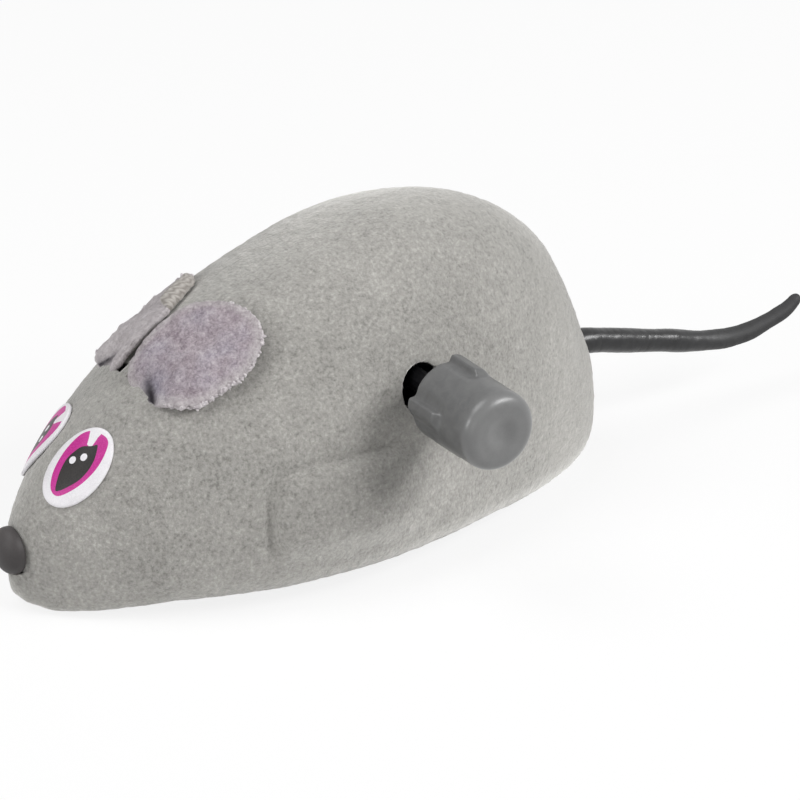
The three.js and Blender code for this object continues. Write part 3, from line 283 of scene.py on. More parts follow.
def node(tree, kind, settings=None, **inputs):
    """Adds a node; inputs are sockets to link or values, named as on the node with _ for a space."""
    made = tree.nodes.new("ShaderNode" + kind)
    for key, value in (settings or {}).items():
        setattr(made, key, value)
    for key, value in inputs.items():
        numbered = key[0] == "i" and key[1:].isdigit()
        socket = made.inputs[int(key[1:]) if numbered else key.replace("_", " ")]
        if isinstance(value, bpy.types.NodeSocket):
            tree.links.new(value, socket)
        else:
            socket.default_value = value
    return made


def math_node(tree, operation, a, b, clamp=False):
    return node(tree, "Math", {"operation": operation, "use_clamp": clamp}, i0=a, i1=b).outputs[0]


def millimetres(tree):
    place = node(tree, "TexCoord").outputs["Object"]
    return node(tree, "VectorMath", {"operation": "SCALE"}, i0=place, Scale=1 / MM).outputs[0]


def along_axis(tree, place, axis, low, high):
    """0 to 1 as a place goes from low to high along an axis."""
    value = node(tree, "SeparateXYZ", Vector=place).outputs[axis]
    settings = {"interpolation_type": "SMOOTHSTEP"}
    return node(tree, "MapRange", settings, Value=value, From_Min=low, From_Max=high).outputs[0]


def attribute(tree, name):
    return node(tree, "Attribute", {"attribute_name": name}).outputs["Fac"]


def noise_node(tree, place, scale, detail, roughness, distortion=0.0):
    settings = {"Scale": scale, "Detail": detail, "Roughness": roughness, "Distortion": distortion}
    return node(tree, "TexNoise", Vector=place, **settings).outputs["Fac"]


def ramp(tree, value, stops):
    made = node(tree, "ValToRGB", Fac=value)
    elements = made.color_ramp.elements
    while len(elements) < len(stops):
        elements.new(0.5)
    for element, (place, colour) in zip(elements, stops):
        element.position = place
        element.color = (*colour, 1)
    return made.outputs["Color"]


def mixed(tree, share, a, b):
    return node(tree, "Mix", {"data_type": "RGBA"}, i0=share, i6=a, i7=b).outputs[2]


def bumped(tree, height, distance, strength):
    return node(tree, "Bump", Height=height, Distance=distance * MM, Strength=strength).outputs[0]


def plus(tree, base, value, weight):
    """A base and a weighted value added to it."""
    return math_node(tree, "ADD", base, math_node(tree, "MULTIPLY", value, weight))


def weighed(tree, first, *others):
    """A weighted sum of values."""
    total = math_node(tree, "MULTIPLY", *first)
    for value, weight in others:
        total = plus(tree, total, value, weight)
    return total


def surface(tree, colour, roughness, normal, **constants):
    """The shader and the output; constants are set on the shader's own sockets."""
    inputs = {"Base_Color": colour, "Roughness": roughness, "Normal": normal}
    shader = node(tree, "BsdfPrincipled", **inputs, **constants)
    node(tree, "OutputMaterial", Surface=shader.outputs[0])


def fibres(tree, colour, normal, sheen, spread, tint):
    """The surface of flock or pile: no gloss, and a sheen of that weight, roughness and tint."""
    looks = {"Sheen_Weight": sheen, "Sheen_Roughness": spread, "Sheen_Tint": (*tint, 1)}
    surface(tree, colour, 0.95, normal, Specular_IOR_Level=0.15, **looks)


# Materials
def flock_material():
    material, tree = new_material("flock_grey")
    place = millimetres(tree)
    fine = noise_node(tree, place, 2.6, 3.0, 0.7)
    clump = noise_node(tree, place, 1.1, 2.0, 0.6)
    patch = noise_node(tree, place, 0.11, 2.0, 0.5, 0.4)
    value = weighed(tree, (fine, 0.62), (clump, 0.2), (patch, 0.18))
    dark, low = (0.13, 0.126, 0.115), (0.24, 0.233, 0.217)
    high, pale = (0.292, 0.283, 0.264), (0.43, 0.418, 0.395)
    colour = ramp(tree, value, [(0.34, dark), (0.46, low), (0.55, high), (0.68, pale)])
    normal = bumped(tree, weighed(tree, (fine, 0.75), (clump, 0.25)), 0.22, 0.75)
    fibres(tree, colour, normal, 1.0, 0.6, (0.92, 0.91, 0.88))
    return material


def moulded_material(name, dark, light, roughness, speck=3.0, bump=0.02, specular=0.5):
    """Moulded plastic or rubber: a little cloudy in colour and gloss, with a fine eroded skin."""
    material, tree = new_material(name)
    place = millimetres(tree)
    cloud = noise_node(tree, place, 0.22, 3.0, 0.6)
    skin = noise_node(tree, place, speck, 3.0, 0.6)
    colour = ramp(tree, weighed(tree, (cloud, 0.7), (skin, 0.3)), [(0.25, dark), (0.75, light)])
    rough = plus(tree, roughness - 0.1, cloud, 0.2)
    surface(tree, colour, rough, bumped(tree, skin, bump, 0.5), Specular_IOR_Level=specular)
    return material


def knob_material():
    """Satin grey plastic, smeared in tone: painted shade darkens the flank and painted light makes the end
    paler.
    """
    material, tree = new_material("knob_plastic")
    place = millimetres(tree)
    cloud = noise_node(tree, place, 0.22, 3.0, 0.6)
    skin = noise_node(tree, place, 5.0, 3.0, 0.6)
    smear = noise_node(tree, place, 0.7, 3.0, 0.6, 0.8)
    # Painted light and shade: the end mask and its paler colours are painted light, the darker flank colours
    # painted shade.
    end = along_axis(tree, place, "Y", 27.4, 28.9)
    dark, middle, light = (0.09, 0.091, 0.091), (0.1, 0.101, 0.101), (0.12, 0.121, 0.12)
    shaded_flank = ramp(tree, smear, [(0.34, dark), (0.46, middle), (0.7, light)])
    dull, lit_end = (0.118, 0.119, 0.119), (0.164, 0.165, 0.164)
    face = ramp(tree, weighed(tree, (cloud, 0.7), (skin, 0.3)), [(0.25, dull), (0.75, lit_end)])
    rough = plus(tree, 0.22, cloud, 0.2)
    normal = bumped(tree, skin, 0.008, 0.5)
    surface(tree, mixed(tree, end, shaded_flank, face), rough, normal, Specular_IOR_Level=0.5)
    return material


def metal_material(name, dark, light, roughness):
    """Drawn or stamped metal, with fine lines along X and a cloudy gloss."""
    material, tree = new_material(name)
    place = millimetres(tree)
    drawn = node(tree, "VectorMath", {"operation": "MULTIPLY"}, i0=place, i1=(0.4, 6.0, 6.0)).outputs[0]
    lines = noise_node(tree, drawn, 1.6, 3.0, 0.6)
    cloud = noise_node(tree, place, 0.5, 2.0, 0.5)
    colour = ramp(tree, weighed(tree, (lines, 0.6), (cloud, 0.4)), [(0.35, dark), (0.65, light)])
    rough = plus(tree, roughness - 0.08, lines, 0.16)
    surface(tree, colour, rough, bumped(tree, lines, 0.01, 0.4), Metallic=1.0)
    return material


def printed_material(name, dark, light):
    """Print on a smooth vinyl sticker: a faint dot screen and a soft gloss."""
    material, tree = new_material(name)
    place = millimetres(tree)
    screen = node(tree, "TexVoronoi", Vector=place, Scale=7.0).outputs["Distance"]
    cloud = noise_node(tree, place, 0.5, 2.0, 0.5)
    colour = ramp(tree, weighed(tree, (screen, 0.4), (cloud, 0.6)), [(0.3, dark), (0.62, light)])
    rough = plus(tree, 0.3, cloud, 0.14)
    surface(tree, colour, rough, bumped(tree, cloud, 0.02, 0.4), Specular_IOR_Level=0.2)
    return material


def pile_material():
    """Brushed pile: lilac-grey, paler at the cut edge, bluer with painted shade in the pinched root, and a
    near-black painted shade in the pocket.
    """
    material, tree = new_material("ear_pile")
    place = millimetres(tree)
    fibre = noise_node(tree, place, 3.4, 3.0, 0.7, 0.5)
    tuft = noise_node(tree, place, 1.1, 3.0, 0.6)
    patch = noise_node(tree, place, 0.3, 2.0, 0.5)
    value = weighed(tree, (fibre, 0.5), (tuft, 0.3), (patch, 0.2))
    dark, middle, light = (0.2, 0.163, 0.188), (0.325, 0.282, 0.306), (0.47, 0.422, 0.443)
    warm = ramp(tree, value, [(0.37, dark), (0.5, middle), (0.63, light)])
    dark, middle, light = (0.154, 0.139, 0.181), (0.282, 0.258, 0.304), (0.415, 0.393, 0.435)
    cool = ramp(tree, value, [(0.37, dark), (0.5, middle), (0.63, light)])
    # Bluish patches are the cloth's own tone; towards the pinched root the cooler, darker colours are bluer
    # tone and painted shade.
    patchy = math_node(tree, "MULTIPLY", math_node(tree, "SUBTRACT", patch, 0.45), 2.2)
    bluer_and_shaded = math_node(tree, "ADD", attribute(tree, "pile_root_tint_and_shade"), patchy, clamp=True)
    frayed = ramp(tree, value, [(0.35, (0.31, 0.283, 0.288)), (0.62, (0.55, 0.518, 0.523))])
    shown = mixed(tree, attribute(tree, "pile_edge"), mixed(tree, bluer_and_shaded, warm, cool), frayed)
    # Painted shade: the pocket at the ear's root is mixed towards near-black.
    colour = mixed(tree, attribute(tree, "pile_pocket_shade"), shown, (0.02, 0.017, 0.022, 1))
    normal = bumped(tree, weighed(tree, (fibre, 0.7), (tuft, 0.3)), 0.25, 0.8)
    fibres(tree, colour, normal, 0.2, 0.4, (0.9, 0.85, 0.9))
    return material


def backing_material():
    """The ear's knitted back: beige chains of stitches."""
    material, tree = new_material("ear_backing")
    fuzz = noise_node(tree, millimetres(tree), 3.0, 3.0, 0.6)
    value = weighed(tree, (attribute(tree, "stitch"), 0.7), (fuzz, 0.45))
    dark, middle, light = (0.2, 0.183, 0.165), (0.34, 0.318, 0.295), (0.46, 0.435, 0.405)
    colour = ramp(tree, value, [(0.1, dark), (0.5, middle), (1.0, light)])
    surface(tree, colour, 0.9, bumped(tree, fuzz, 0.1, 0.5), Specular_IOR_Level=0.2, Sheen_Weight=0.2)
    return material


def tuft_material():
    material, tree = new_material("ear_tufts")
    strand = noise_node(tree, millimetres(tree), 2.2, 3.0, 0.7)
    dark, middle, light = (0.36, 0.325, 0.34), (0.52, 0.485, 0.5), (0.7, 0.67, 0.675)
    colour = ramp(tree, strand, [(0.34, dark), (0.52, middle), (0.68, light)])
    fibres(tree, colour, bumped(tree, strand, 0.1, 0.6), 0.3, 0.5, (1, 1, 1))
    return material


def tail_material():
    """Black rubber, glossy near the body and duller towards the tip."""
    material, tree = new_material("tail_rubber")
    place = millimetres(tree)
    cloud = noise_node(tree, place, 0.9, 4.0, 0.65)
    skin = noise_node(tree, place, 5.0, 3.0, 0.6)
    dull = along_axis(tree, place, "X", -48.0, -58.0)
    black = ramp(tree, cloud, [(0.35, (0.004, 0.004, 0.0045)), (0.65, (0.01, 0.01, 0.011))])
    grey = ramp(tree, cloud, [(0.35, (0.009, 0.009, 0.0095)), (0.65, (0.02, 0.02, 0.021))])
    rough = plus(tree, plus(tree, 0.22, dull, 0.38), cloud, 0.16)
    normal = bumped(tree, weighed(tree, (skin, 0.5), (cloud, 0.5)), 0.014, 0.5)
    surface(tree, mixed(tree, dull, black, grey), rough, normal, Specular_IOR_Level=0.5)
    return material


FLOCK = flock_material()
SHELL = moulded_material("shell_plastic", (0.025, 0.025, 0.026), (0.05, 0.05, 0.05), 0.6)
KNOB = knob_material()
NOSE = moulded_material("nose_plastic", (0.03, 0.027, 0.027), (0.054, 0.048, 0.048), 0.55, 6.0, 0.02, 0.35)
BASE = moulded_material("base_plastic", (0.028, 0.028, 0.03), (0.05, 0.05, 0.052), 0.55, 4.0, 0.04)
GEAR = moulded_material("gear_plastic", (0.62, 0.585, 0.48), (0.74, 0.705, 0.6), 0.45)
TYRE = moulded_material("tyre_rubber", (0.011, 0.011, 0.012), (0.024, 0.024, 0.025), 0.7, 6.0, 0.05, 0.3)
STEEL = metal_material("steel", (0.4, 0.41, 0.43), (0.58, 0.59, 0.61), 0.34)
SPRING = metal_material("spring_steel", (0.09, 0.11, 0.15), (0.17, 0.19, 0.23), 0.3)
BLACKENED = metal_material("blackened_steel", (0.004, 0.004, 0.0045), (0.01, 0.01, 0.011), 0.6)
PILE = pile_material()
BACKING = backing_material()
TUFTS = tuft_material()
TAIL = tail_material()
PRINT_WHITE = printed_material("eye_print_white", (0.66, 0.645, 0.67), (0.76, 0.745, 0.77))
PRINT_MAGENTA = printed_material("eye_print_magenta", (0.42, 0.018, 0.21), (0.52, 0.04, 0.28))
PRINT_DARK = printed_material("eye_print_dark", (0.012, 0.011, 0.011), (0.025, 0.022, 0.021))


# Body form
def arc(share, spec):
    peak, rear, nose = spec
    share = np.asarray(share, float)
    behind = share < peak
    away = np.where(behind, (peak - share) / peak, (share - peak) / (1 - peak))
    power = np.where(behind, rear[0], nose[0])
    root = np.where(behind, rear[1], nose[1])
    return np.maximum(0, 1 - np.clip(away, 0, 1) ** power) ** root


def form_at(form, x):
    rear, nose, half, rise = form
    share = (np.asarray(x, float) - rear) / (nose - rear)
    return half * arc(share, WIDTH_ARC), rise * arc(share, BACK_ARC), BELLY_DEPTH * arc(share, BELLY_ARC)


def height_at(x, y):
    half, rise, _ = form_at(OUTSIDE, x)
    across = np.minimum(1, np.abs(y) / half)
    return GIRTH_Z + rise * (1 - across**ACROSS_POWER) ** (1 / UP_POWER)


def head_normal(x, y):
    step = 0.05
    slope_x = (height_at(x + step, y) - height_at(x - step, y)) / (2 * step)
    slope_y = (height_at(x, y + step) - height_at(x, y - step)) / (2 * step)
    return unit(np.stack([-slope_x, -slope_y, np.ones_like(slope_x)], -1))


def on_head(x, y, lift):
    x, y = np.asarray(x, float), np.asarray(y, float)
    place = np.stack([x, y, height_at(x, y)], -1)
    return place + head_normal(x, y) * np.asarray(lift, float)[..., None]


def leg_relief(x, z):
    along = np.abs(x - LEG["x"]) / LEG["half"]
    up = np.abs(z - LEG["z"]) / LEG["tall"]
    reach = (along ** LEG["power"] + up ** LEG["power"]) ** (1 / LEG["power"])
    inside = (1 - reach) * LEG["half"]
    front = smoothstep(0.75, 1.0, (x - LEG["x"]) / LEG["half"])
    width = LEG_EDGE["top"] + (LEG_EDGE["front"] - LEG_EDGE["top"]) * front
    edge = LEG_EDGE["rise"] * smoothstep(0, 1, inside / width + 0.5)
    groove = np.exp(-(((inside + LEG_EDGE["front"] * 0.7) / LEG_EDGE["groove_width"]) ** 2))
    edge -= LEG_EDGE["groove"] * (0.55 + 0.45 * front) * groove
    rear = LEG["x"] - LEG["half"]
    return edge * smoothstep(rear, rear + LEG_FADE, x) * smoothstep(*LEG_FOOT, z)


def section(form, x, rim):
    """A cross section from one end of the rim over the back to the other, and whether it closes below."""
    half, rise, drop = (float(v) for v in form_at(form, x))
    turn = np.linspace(-np.pi / 2, 1.5 * np.pi, 1801)
    c, s = np.cos(turn), np.sin(turn)
    upper = s >= 0
    across = np.where(upper, 2 / ACROSS_POWER, 2 / LOWER_POWER)
    y = half * np.sign(c) * np.abs(c) ** across
    above, below = rise * np.abs(s) ** (2 / UP_POWER), drop * np.abs(s) ** (2 / LOWER_POWER)
    z = GIRTH_Z + np.where(upper, above, -below)
    line = np.stack([np.full_like(y, x), y, z], 1)
    if rim is None or GIRTH_Z - drop >= rim:
        return line, True
    keep = np.nonzero(z >= rim)[0]
    first, last = keep[0], keep[-1]
    share = (rim - z[first - 1]) / (z[first] - z[first - 1])
    start = line[first - 1] + share * (line[first] - line[first - 1])
    end = start * np.array([1, -1, 1])
    return np.vstack([start, line[first : last + 1], end]), False


def form_skin(form, stations, sides, rim):
    """Points and faces of a body form, closed below by a flat strip where the rim cuts it."""
    rear, nose = form[:2]
    dense = rear + (nose - rear) * (1 - np.cos(np.linspace(0, np.pi, 4001))) / 2
    half, rise, _ = form_at(form, dense)
    steps = np.sqrt(np.diff(dense) ** 2 + 0.35 * np.diff(half) ** 2 + 0.65 * np.diff(rise) ** 2)
    run = np.concatenate([[0], np.cumsum(steps)])
    xs = np.interp(np.linspace(0, run[-1], stations + 1), run, dense)[1:-1]
    points, rows, whole = [np.array([[rear, 0, GIRTH_Z]])], [], []
    count = 1
    for x in xs:
        line, closed = section(form, x, rim)
        line = even_steps(line, sides + 1)
        row = list(range(count, count + sides + 1))
        if closed:
            line, row = line[:-1], row[:-1] + row[:1]
        points.append(line)
        count += len(line)
        rows.append(row)
        whole.append(closed)
    points.append(np.array([[nose, 0, GIRTH_Z]]))
    faces = []
    for k in range(sides):
        faces.append((0, rows[0][k + 1], rows[0][k]))
        faces.append((count, rows[-1][k], rows[-1][k + 1]))
    for low, high, low_whole, high_whole in zip(rows, rows[1:], whole, whole[1:]):
        faces.extend((low[k], low[k + 1], high[k + 1], high[k]) for k in range(sides))
        below = (low[0], high[0], high[-1], low[-1])
        if not (low_whole and high_whole):
            faces.append(tuple(dict.fromkeys(below)))
    return np.vstack(points), faces


def lip(away, width):
    """Depth of a rounded lip, from its width at the edge of a hole to nothing that far from it."""
    share = np.clip(1 - away / width, 0, 1)
    return width * (1 - np.sqrt(1 - share**2))


# Flocked shell: a dense skin, a hollow with screw bosses, and the holes
def shell_skin():
    """Points and faces of the flocked outside."""
    points, faces = form_skin(OUTSIDE, 318, 286, 0.0)
    normals = vertex_normals(points, faces)
    x, y, z = points.T
    push = ripples(points, FLOCK_RIPPLES)
    push += leg_relief(x, z) * smoothstep(0.15, 0.35, np.abs(normals[:, 1]))
    hump = np.exp(-(((x - HUMP["x"]) / HUMP["reach"]) ** 2))
    push += HUMP["rise"] * hump * smoothstep(0.5, 0.95, normals[:, 2])
    push -= RUMP_DIP * smoothstep(*RUMP_XS, x) * smoothstep(*RUMP_ZS, z)
    knob_away = np.hypot(x - KNOB_HOLE[0], z - KNOB_HOLE[1]) - KNOB_HOLE_RADIUS
    push -= np.where(y > 0, lip(np.maximum(knob_away, 0), KNOB_HOLE_LIP), 0)
    tail_away = np.hypot(y, z - TAIL_Z) - TAIL_HOLE_RADIUS
    push -= np.where(x < 0, lip(np.maximum(tail_away, 0), TAIL_HOLE_LIP), 0)
    level = normals * np.array([1, 1, 0])
    inward = np.clip(RIM_ROUND - z, 0, RIM_ROUND)
    pull = RIM_ROUND - np.sqrt(RIM_ROUND**2 - inward**2)
    moved = points + normals * push[:, None] - unit(level) * pull[:, None]
    moved[:, 2] += np.interp(x, EDGE_PLACES, EDGE_SHIFTS) * (1 - smoothstep(0.0, 5.0, z))
    return moved, faces


def ear_slit(side):
    """The slit that an ear's root goes into."""
    x, y = EAR_SLIT["x"], side * EAR_SLIT["y"]
    normal = head_normal(np.array(x), np.array(y))
    back = unit(np.array([-1, 0, normal[0] / normal[2]]))
    across = np.cross(back, normal)
    place = np.array([x, y, float(height_at(x, y))])
    corners = []
    for up in (-EAR_SLIT["depth"], EAR_SLIT["above"]):
        for a, b in ((-1, -1), (1, -1), (1, 1), (-1, 1)):
            level = back * a * EAR_SLIT["half_width"] + across * b * EAR_SLIT["half_length"]
            corners.append(place + level + normal * up)
    faces = [(0, 1, 2, 3), (7, 6, 5, 4), (4, 5, 1, 0), (5, 6, 2, 1), (6, 7, 3, 2), (7, 4, 0, 3)]
    return piece("cutter", corners, faces, [])


def frayed_radius(radius, height, turn):
    """A radius that wanders, for the ragged edge that flock leaves round a hole."""
    steps = np.arange(len(turn))
    places = np.stack([np.cos(steps), np.sin(steps), np.zeros(len(turn))], 1)
    return radius + KNOB_HOLE_FRAY * grain(places, 0.3)


def make_shell():
    points, faces = shell_skin()
    skin = piece("body", points, faces, [FLOCK, SHELL])
    tree = BVHTree.FromPolygons((points * MM).tolist(), [tuple(face) for face in faces])
    inner_points, inner_faces = form_skin(INSIDE, 60, 72, None)
    inner_points[:, 2] = np.where(inner_points[:, 2] < 0, 4 * inner_points[:, 2], inner_points[:, 2])
    hollow = piece("cutter", inner_points, inner_faces, [])
    for boss_x in BOSS_XS:
        cut(hollow, rod(BOSS_RADIUS, BOSS_BASE, OUTSIDE_REACH, "z", (boss_x, 0, 0), 48))
    cut(skin, hollow)
    for boss_x in BOSS_XS:
        cut(skin, rod(PILOT_RADIUS, -1, PILOT_TOP, "z", (boss_x, 0, 0), 48))
    knob_place = (KNOB_HOLE[0], 0, KNOB_HOLE[1])
    cut(skin, rod(KNOB_HOLE_RADIUS, 5, OUTSIDE_REACH, "y", knob_place, 160, frayed_radius))
    cut(skin, rod(TAIL_HOLE_RADIUS, -OUTSIDE_REACH, TAIL_WALL_X, "x", (0, 0, TAIL_Z)))
    cut(skin, rod(NOSE_SEAT_RADIUS, NOSE_SEAT_X, OUTSIDE_REACH, "x", (0, 0, GIRTH_Z)))
    cut(skin, rod(STEM_RADIUS, *STEM_XS, "x", (0, 0, GIRTH_Z), 48))
    for side in (1, -1):
        cut(skin, ear_slit(side))
    skin_depth = 0.5 * MM
    bare = [tree.find_nearest(polygon.center)[3] > skin_depth for polygon in skin.data.polygons]
    skin.data.polygons.foreach_set("material_index", np.array(bare, np.int32))
    skin.data.polygons.foreach_set("use_smooth", np.ones(len(bare), bool))
    return finished(skin, "chassis", "flock", "body_shell")


make_shell()


# Eyes: printed ovals that follow the head; each has its place along and across it and its own lean
EYE_PLACES = {"eye_left": (29.55, 3.37, 0.127), "eye_right": (28.86, 4.95, -0.42)}
EYE = {"length": 9.38, "width": 6.08, "top": 0.38, "bottom": 0.02, "round": 0.2}
EYE_HALF = np.array([EYE["length"], EYE["width"]]) / 2
EYE_SIDES = 200
EYE_INSETS = (0.0, 0.025, 0.07, 0.13, EYE["round"])
PRINT_SHIFT = np.array([0.2, 0.1])
IRIS = [(3.78, 1.54), (3.05, 2.08), (1.96, 2.33), (0.41, 2.33), (-1.24, 1.99), (-2.48, 1.41), (-3.31, 0.61)]
IRIS += [(-3.34, -0.26), (-2.44, -0.94), (-0.79, -1.54), (1.01, -1.77), (2.56, -1.58), (3.86, -1.08)]
IRIS += [(4.33, -0.51), (4.29, 0.34), (4.15, 1.0)]
NOTCH = [(3.78, 1.6), (3.01, 1.04), (2.55, 0.78), (2.54, 0.43), (2.77, 0.21), (3.26, 0.27), (3.78, 0.36)]
NOTCH += [(4.34, 0.34), (4.24, 1.0)]
PUPIL = [(-3.0, 0.24), (-2.01, 0.84), (-1.02, 1.25), (0.12, 1.49), (1.31, 1.33), (2.1, 1.0), (2.72, 0.27)]
PUPIL += [(3.21, -0.12), (2.91, -0.45), (1.85, -1.0), (0.61, -1.22), (-0.73, -1.09), (-2.02, -0.57)]
PUPIL += [(-2.74, -0.17)]
GLINTS = [(0.4, 0.87), (1.39, 0.09)]
GLINT_RADII = np.array([0.4104, 0.3496])
# Materials of the print, in the order in which it is laid down: 0 white, 1 magenta, 2 dark
PRINT_ORDER = {"iris": 1, "notch": 0, "pupil": 2, "glint0": 0, "glint1": 0}
PRINT_GRID = 0.3


def eye_frame(x, y, lean):
    x, y = np.array(x), np.array(y)
    normal = head_normal(x, y)
    back = unit(np.array([-1, 0, normal[0] / normal[2]]))
    side = unit(np.cross(back, normal))
    long = back * math.cos(lean) + side * math.sin(lean)
    return np.array([x, y, height_at(x, y)]), normal, long, np.cross(normal, long)


def eye_points(where, flat, lift):
    """Points of the eye's plane laid on the head, lifted along its normal."""
    place, normal, long, short = eye_frame(*where)
    found = place + flat[:, :1] * long + flat[:, 1:] * short
    for _ in range(12):
        miss = (height_at(found[:, 0], found[:, 1]) - found[:, 2]) * normal[2]
        found = found + miss[:, None] * normal
    return on_head(found[:, 0], found[:, 1], lift)


def eye_sheet():
    """The eye in its own plane: points, faces and the material of each face."""
    turn = around(EYE_SIDES)
    oval = np.stack([np.cos(turn), np.sin(turn)], 1)
    prints = {"iris": closed_curve(IRIS, 240), "notch": np.array(NOTCH), "pupil": closed_curve(PUPIL, 220)}
    for index, glint in enumerate(GLINTS):
        prints["glint%d" % index] = np.array(glint) + GLINT_RADII * oval[::5]
    prints = {name: outline - PRINT_SHIFT for name, outline in prints.items()}
    loops = [oval * (EYE_HALF - inset) for inset in EYE_INSETS]
    points, edges = [], []
    for loop in loops + list(prints.values()):
        first = len(points)
        points.extend(loop.tolist())
        edges.extend((first + k, first + (k + 1) % len(loop)) for k in range(len(loop)))
    lines = (np.arange(-4.4, 4.5, PRINT_GRID), np.arange(-2.8, 2.9, PRINT_GRID))
    grid = np.stack(np.meshgrid(*lines), -1).reshape(-1, 2)
    clear = np.linalg.norm(grid / (EYE_HALF - 0.35), axis=1) < 1
    near = np.array([np.min(np.hypot(*(np.array(points) - spot).T)) for spot in grid])
    points.extend(grid[clear & (near > 0.1)].tolist())
    flat, _, faces, *_ = geometry.delaunay_2d_cdt([Vector(p) for p in points], edges, [], 0, 1e-5)
    flat = np.array([tuple(p) for p in flat])
    faces = np.array([tuple(face) for face in faces], int)
    kinds = np.zeros(len(faces), int)
    for name, kind in PRINT_ORDER.items():
        kinds[inside_polygon(flat[faces].mean(1), prints[name])] = kind
    a, b, c = flat[faces].transpose(1, 0, 2)
    turned_over = np.cross(b - a, c - a) < 0
    faces[turned_over] = faces[turned_over][:, ::-1]
    return flat, faces, kinds


def make_eyes():
    flat, faces, kinds = eye_sheet()
    total, edge = len(flat), EYE["round"]
    share = np.linalg.norm(flat / EYE_HALF, axis=1)
    inset = np.clip((1 - share) * EYE_HALF.mean(), 0, edge)
    top = EYE["top"] - edge + np.sqrt(np.maximum(0, edge**2 - (edge - inset) ** 2))
    outer = np.nonzero(share > 0.9995)[0]
    outer = outer[np.argsort(np.arctan2(flat[outer, 1], flat[outer, 0]))]
    before = np.roll(outer, 1)
    walls = np.stack([before, before + total, outer + total, outer], 1)
    every = faces.tolist() + (faces[:, ::-1] + total).tolist() + walls.tolist()
    kinds = np.concatenate([kinds, np.zeros(len(faces) + len(walls), int)])
    for side, name in ((1, "eye_left"), (-1, "eye_right")):
        upper = eye_points(EYE_PLACES[name], flat, top)
        lower = eye_points(EYE_PLACES[name], flat, np.full(total, EYE["bottom"]))
        shown = on_side(side, np.vstack([upper, lower]), every)
        made = piece(name + "_print", *shown, [PRINT_WHITE, PRINT_MAGENTA, PRINT_DARK], kinds)
        finished(made, "chassis", "eye_print", name)


make_eyes()


# Nose button: a stem, a flat back and a dome
NOSE_STEM = [(0, -3.6), (0.86, -3.6), (0.9, -3.5), (0.9, 0.1), (2.2, 0.1), (2.42, 0.16), (2.49, 0.32)]
NOSE_RADIUS, NOSE_RIM, NOSE_DOME = 2.5, 0.6, 1.65
NOSE_TIP = (0, 2.26)


def make_nose():
    turns = np.linspace(0, math.pi / 2, 26)[:-1]
    dome = [(NOSE_RADIUS * math.cos(t), NOSE_RIM + NOSE_DOME * math.sin(t) ** 0.9) for t in turns]
    profile = NOSE_STEM + dome + [NOSE_TIP]
    made = turned("nose_button", profile, "x", (NOSE_SEAT_X, 0, GIRTH_Z), 128, [NOSE])
    return finished(made, "chassis", "nose_plastic", "nose")


make_nose()


# Ears: pinched lobes of pile fabric, left as 1 and right as -1
# An edge is plan places on the head with their heights above it, from the root round the outside
EAR_ROOT = [(21.75, 5.5, -0.4), (21.1, 6.4, 0.2)]
EAR_OUTER = [(20.3, 7.2), (19.35, 8.05), (18.2, 8.7), (16.9, 8.95), (15.6, 9.15), (14.1, 9.35), (12.85, 9.3)]
EAR_OUTER += [(11.85, 8.95), (11.1, 8.45), (10.55, 7.9), (10.35, 7.2)]
NEAR_LIFTS = (0.42, 0.55, 0.65, 0.7, 0.75, 0.8, 0.9, 1.0, 1.1, 1.15, 1.2)
FAR_LIFTS = (0.3, 0.3, 0.35) + 8 * (0.4,)
NEAR_INNER = [(10.45, 6.35, 1.3), (10.8, 5.25, 1.35), (11.5, 4.0, 1.35), (12.5, 2.75, 1.4)]
NEAR_INNER += [(13.6, 1.55, 1.4), (14.8, 0.85, 1.35), (16.2, 0.5, 1.25), (17.6, 0.42, 1.15)]
NEAR_INNER += [(19.3, 0.42, 0.95), (20.8, 0.6, 0.5), (21.8, 1.1, -0.2)]
FAR_INNER = [(10.4, 6.3, 0.4), (10.65, 5.2, 0.4), (11.1, 4.1, 0.4), (11.7, 3.4, 0.42), (12.8, 3.0, 0.45)]
FAR_INNER += [(14.1, 2.5, 0.5), (15.4, 1.9, 0.6), (16.6, 1.3, 0.75), (17.8, 1.0, 0.85), (19.3, 0.95, 0.8)]
FAR_INNER += [(20.8, 1.05, 0.45), (21.8, 1.4, -0.2)]
EAR_PINCH = [(22.2, 2.3, -0.7), (22.2, 3.6, -0.8), (22.0, 4.7, -0.75)]


def ear_edge(lifts, inner):
    outer = [(x, y, lift) for (x, y), lift in zip(EAR_OUTER, lifts)]
    return EAR_ROOT + outer + inner + EAR_PINCH


EAR_EDGES = {1: ear_edge(NEAR_LIFTS, NEAR_INNER), -1: ear_edge(FAR_LIFTS, FAR_INNER)}
EAR_CENTRE = np.array([15.9, 5.0])
EAR_CROWN = {1: 1.05, -1: 0.5}
EAR_GAP = {1: 0.3, -1: 0.65}
EAR_PALENESS = {1: 0.0, -1: 0.9}
EAR_FOLD_RISE = {1: 0.55, -1: 0.45}
EAR_SPOTS = 84
EAR_RIM_RINGS = 4
PILE_TOP, PILE_BACK = 0.42, 0.3
PILE_RIPPLES = ((0.1, 0.5, 2.0), (0.12, 1.1, 4.0))
# Soft folds, and the bands where painted shade is laid in the pinched root (pinch) and in the pocket
# (depth): start and end in plan, and width
FOLDS = {
    "inner": ((21.6, 2.0), (17.2, 2.2), 1.0),
    "outer": ((21.2, 6.9), (14.0, 7.6), 1.3),
    "pocket": ((22.0, 5.6), (20.3, 1.4), 0.75),
    "pinch": ((21.9, 5.5), (19.3, 1.6), 1.6),
    "depth": ((21.9, 5.6), (20.4, 1.7), 0.6),
}
FAR_DIP = {"x": 15.2, "reach": 1.2, "depth": 0.32}
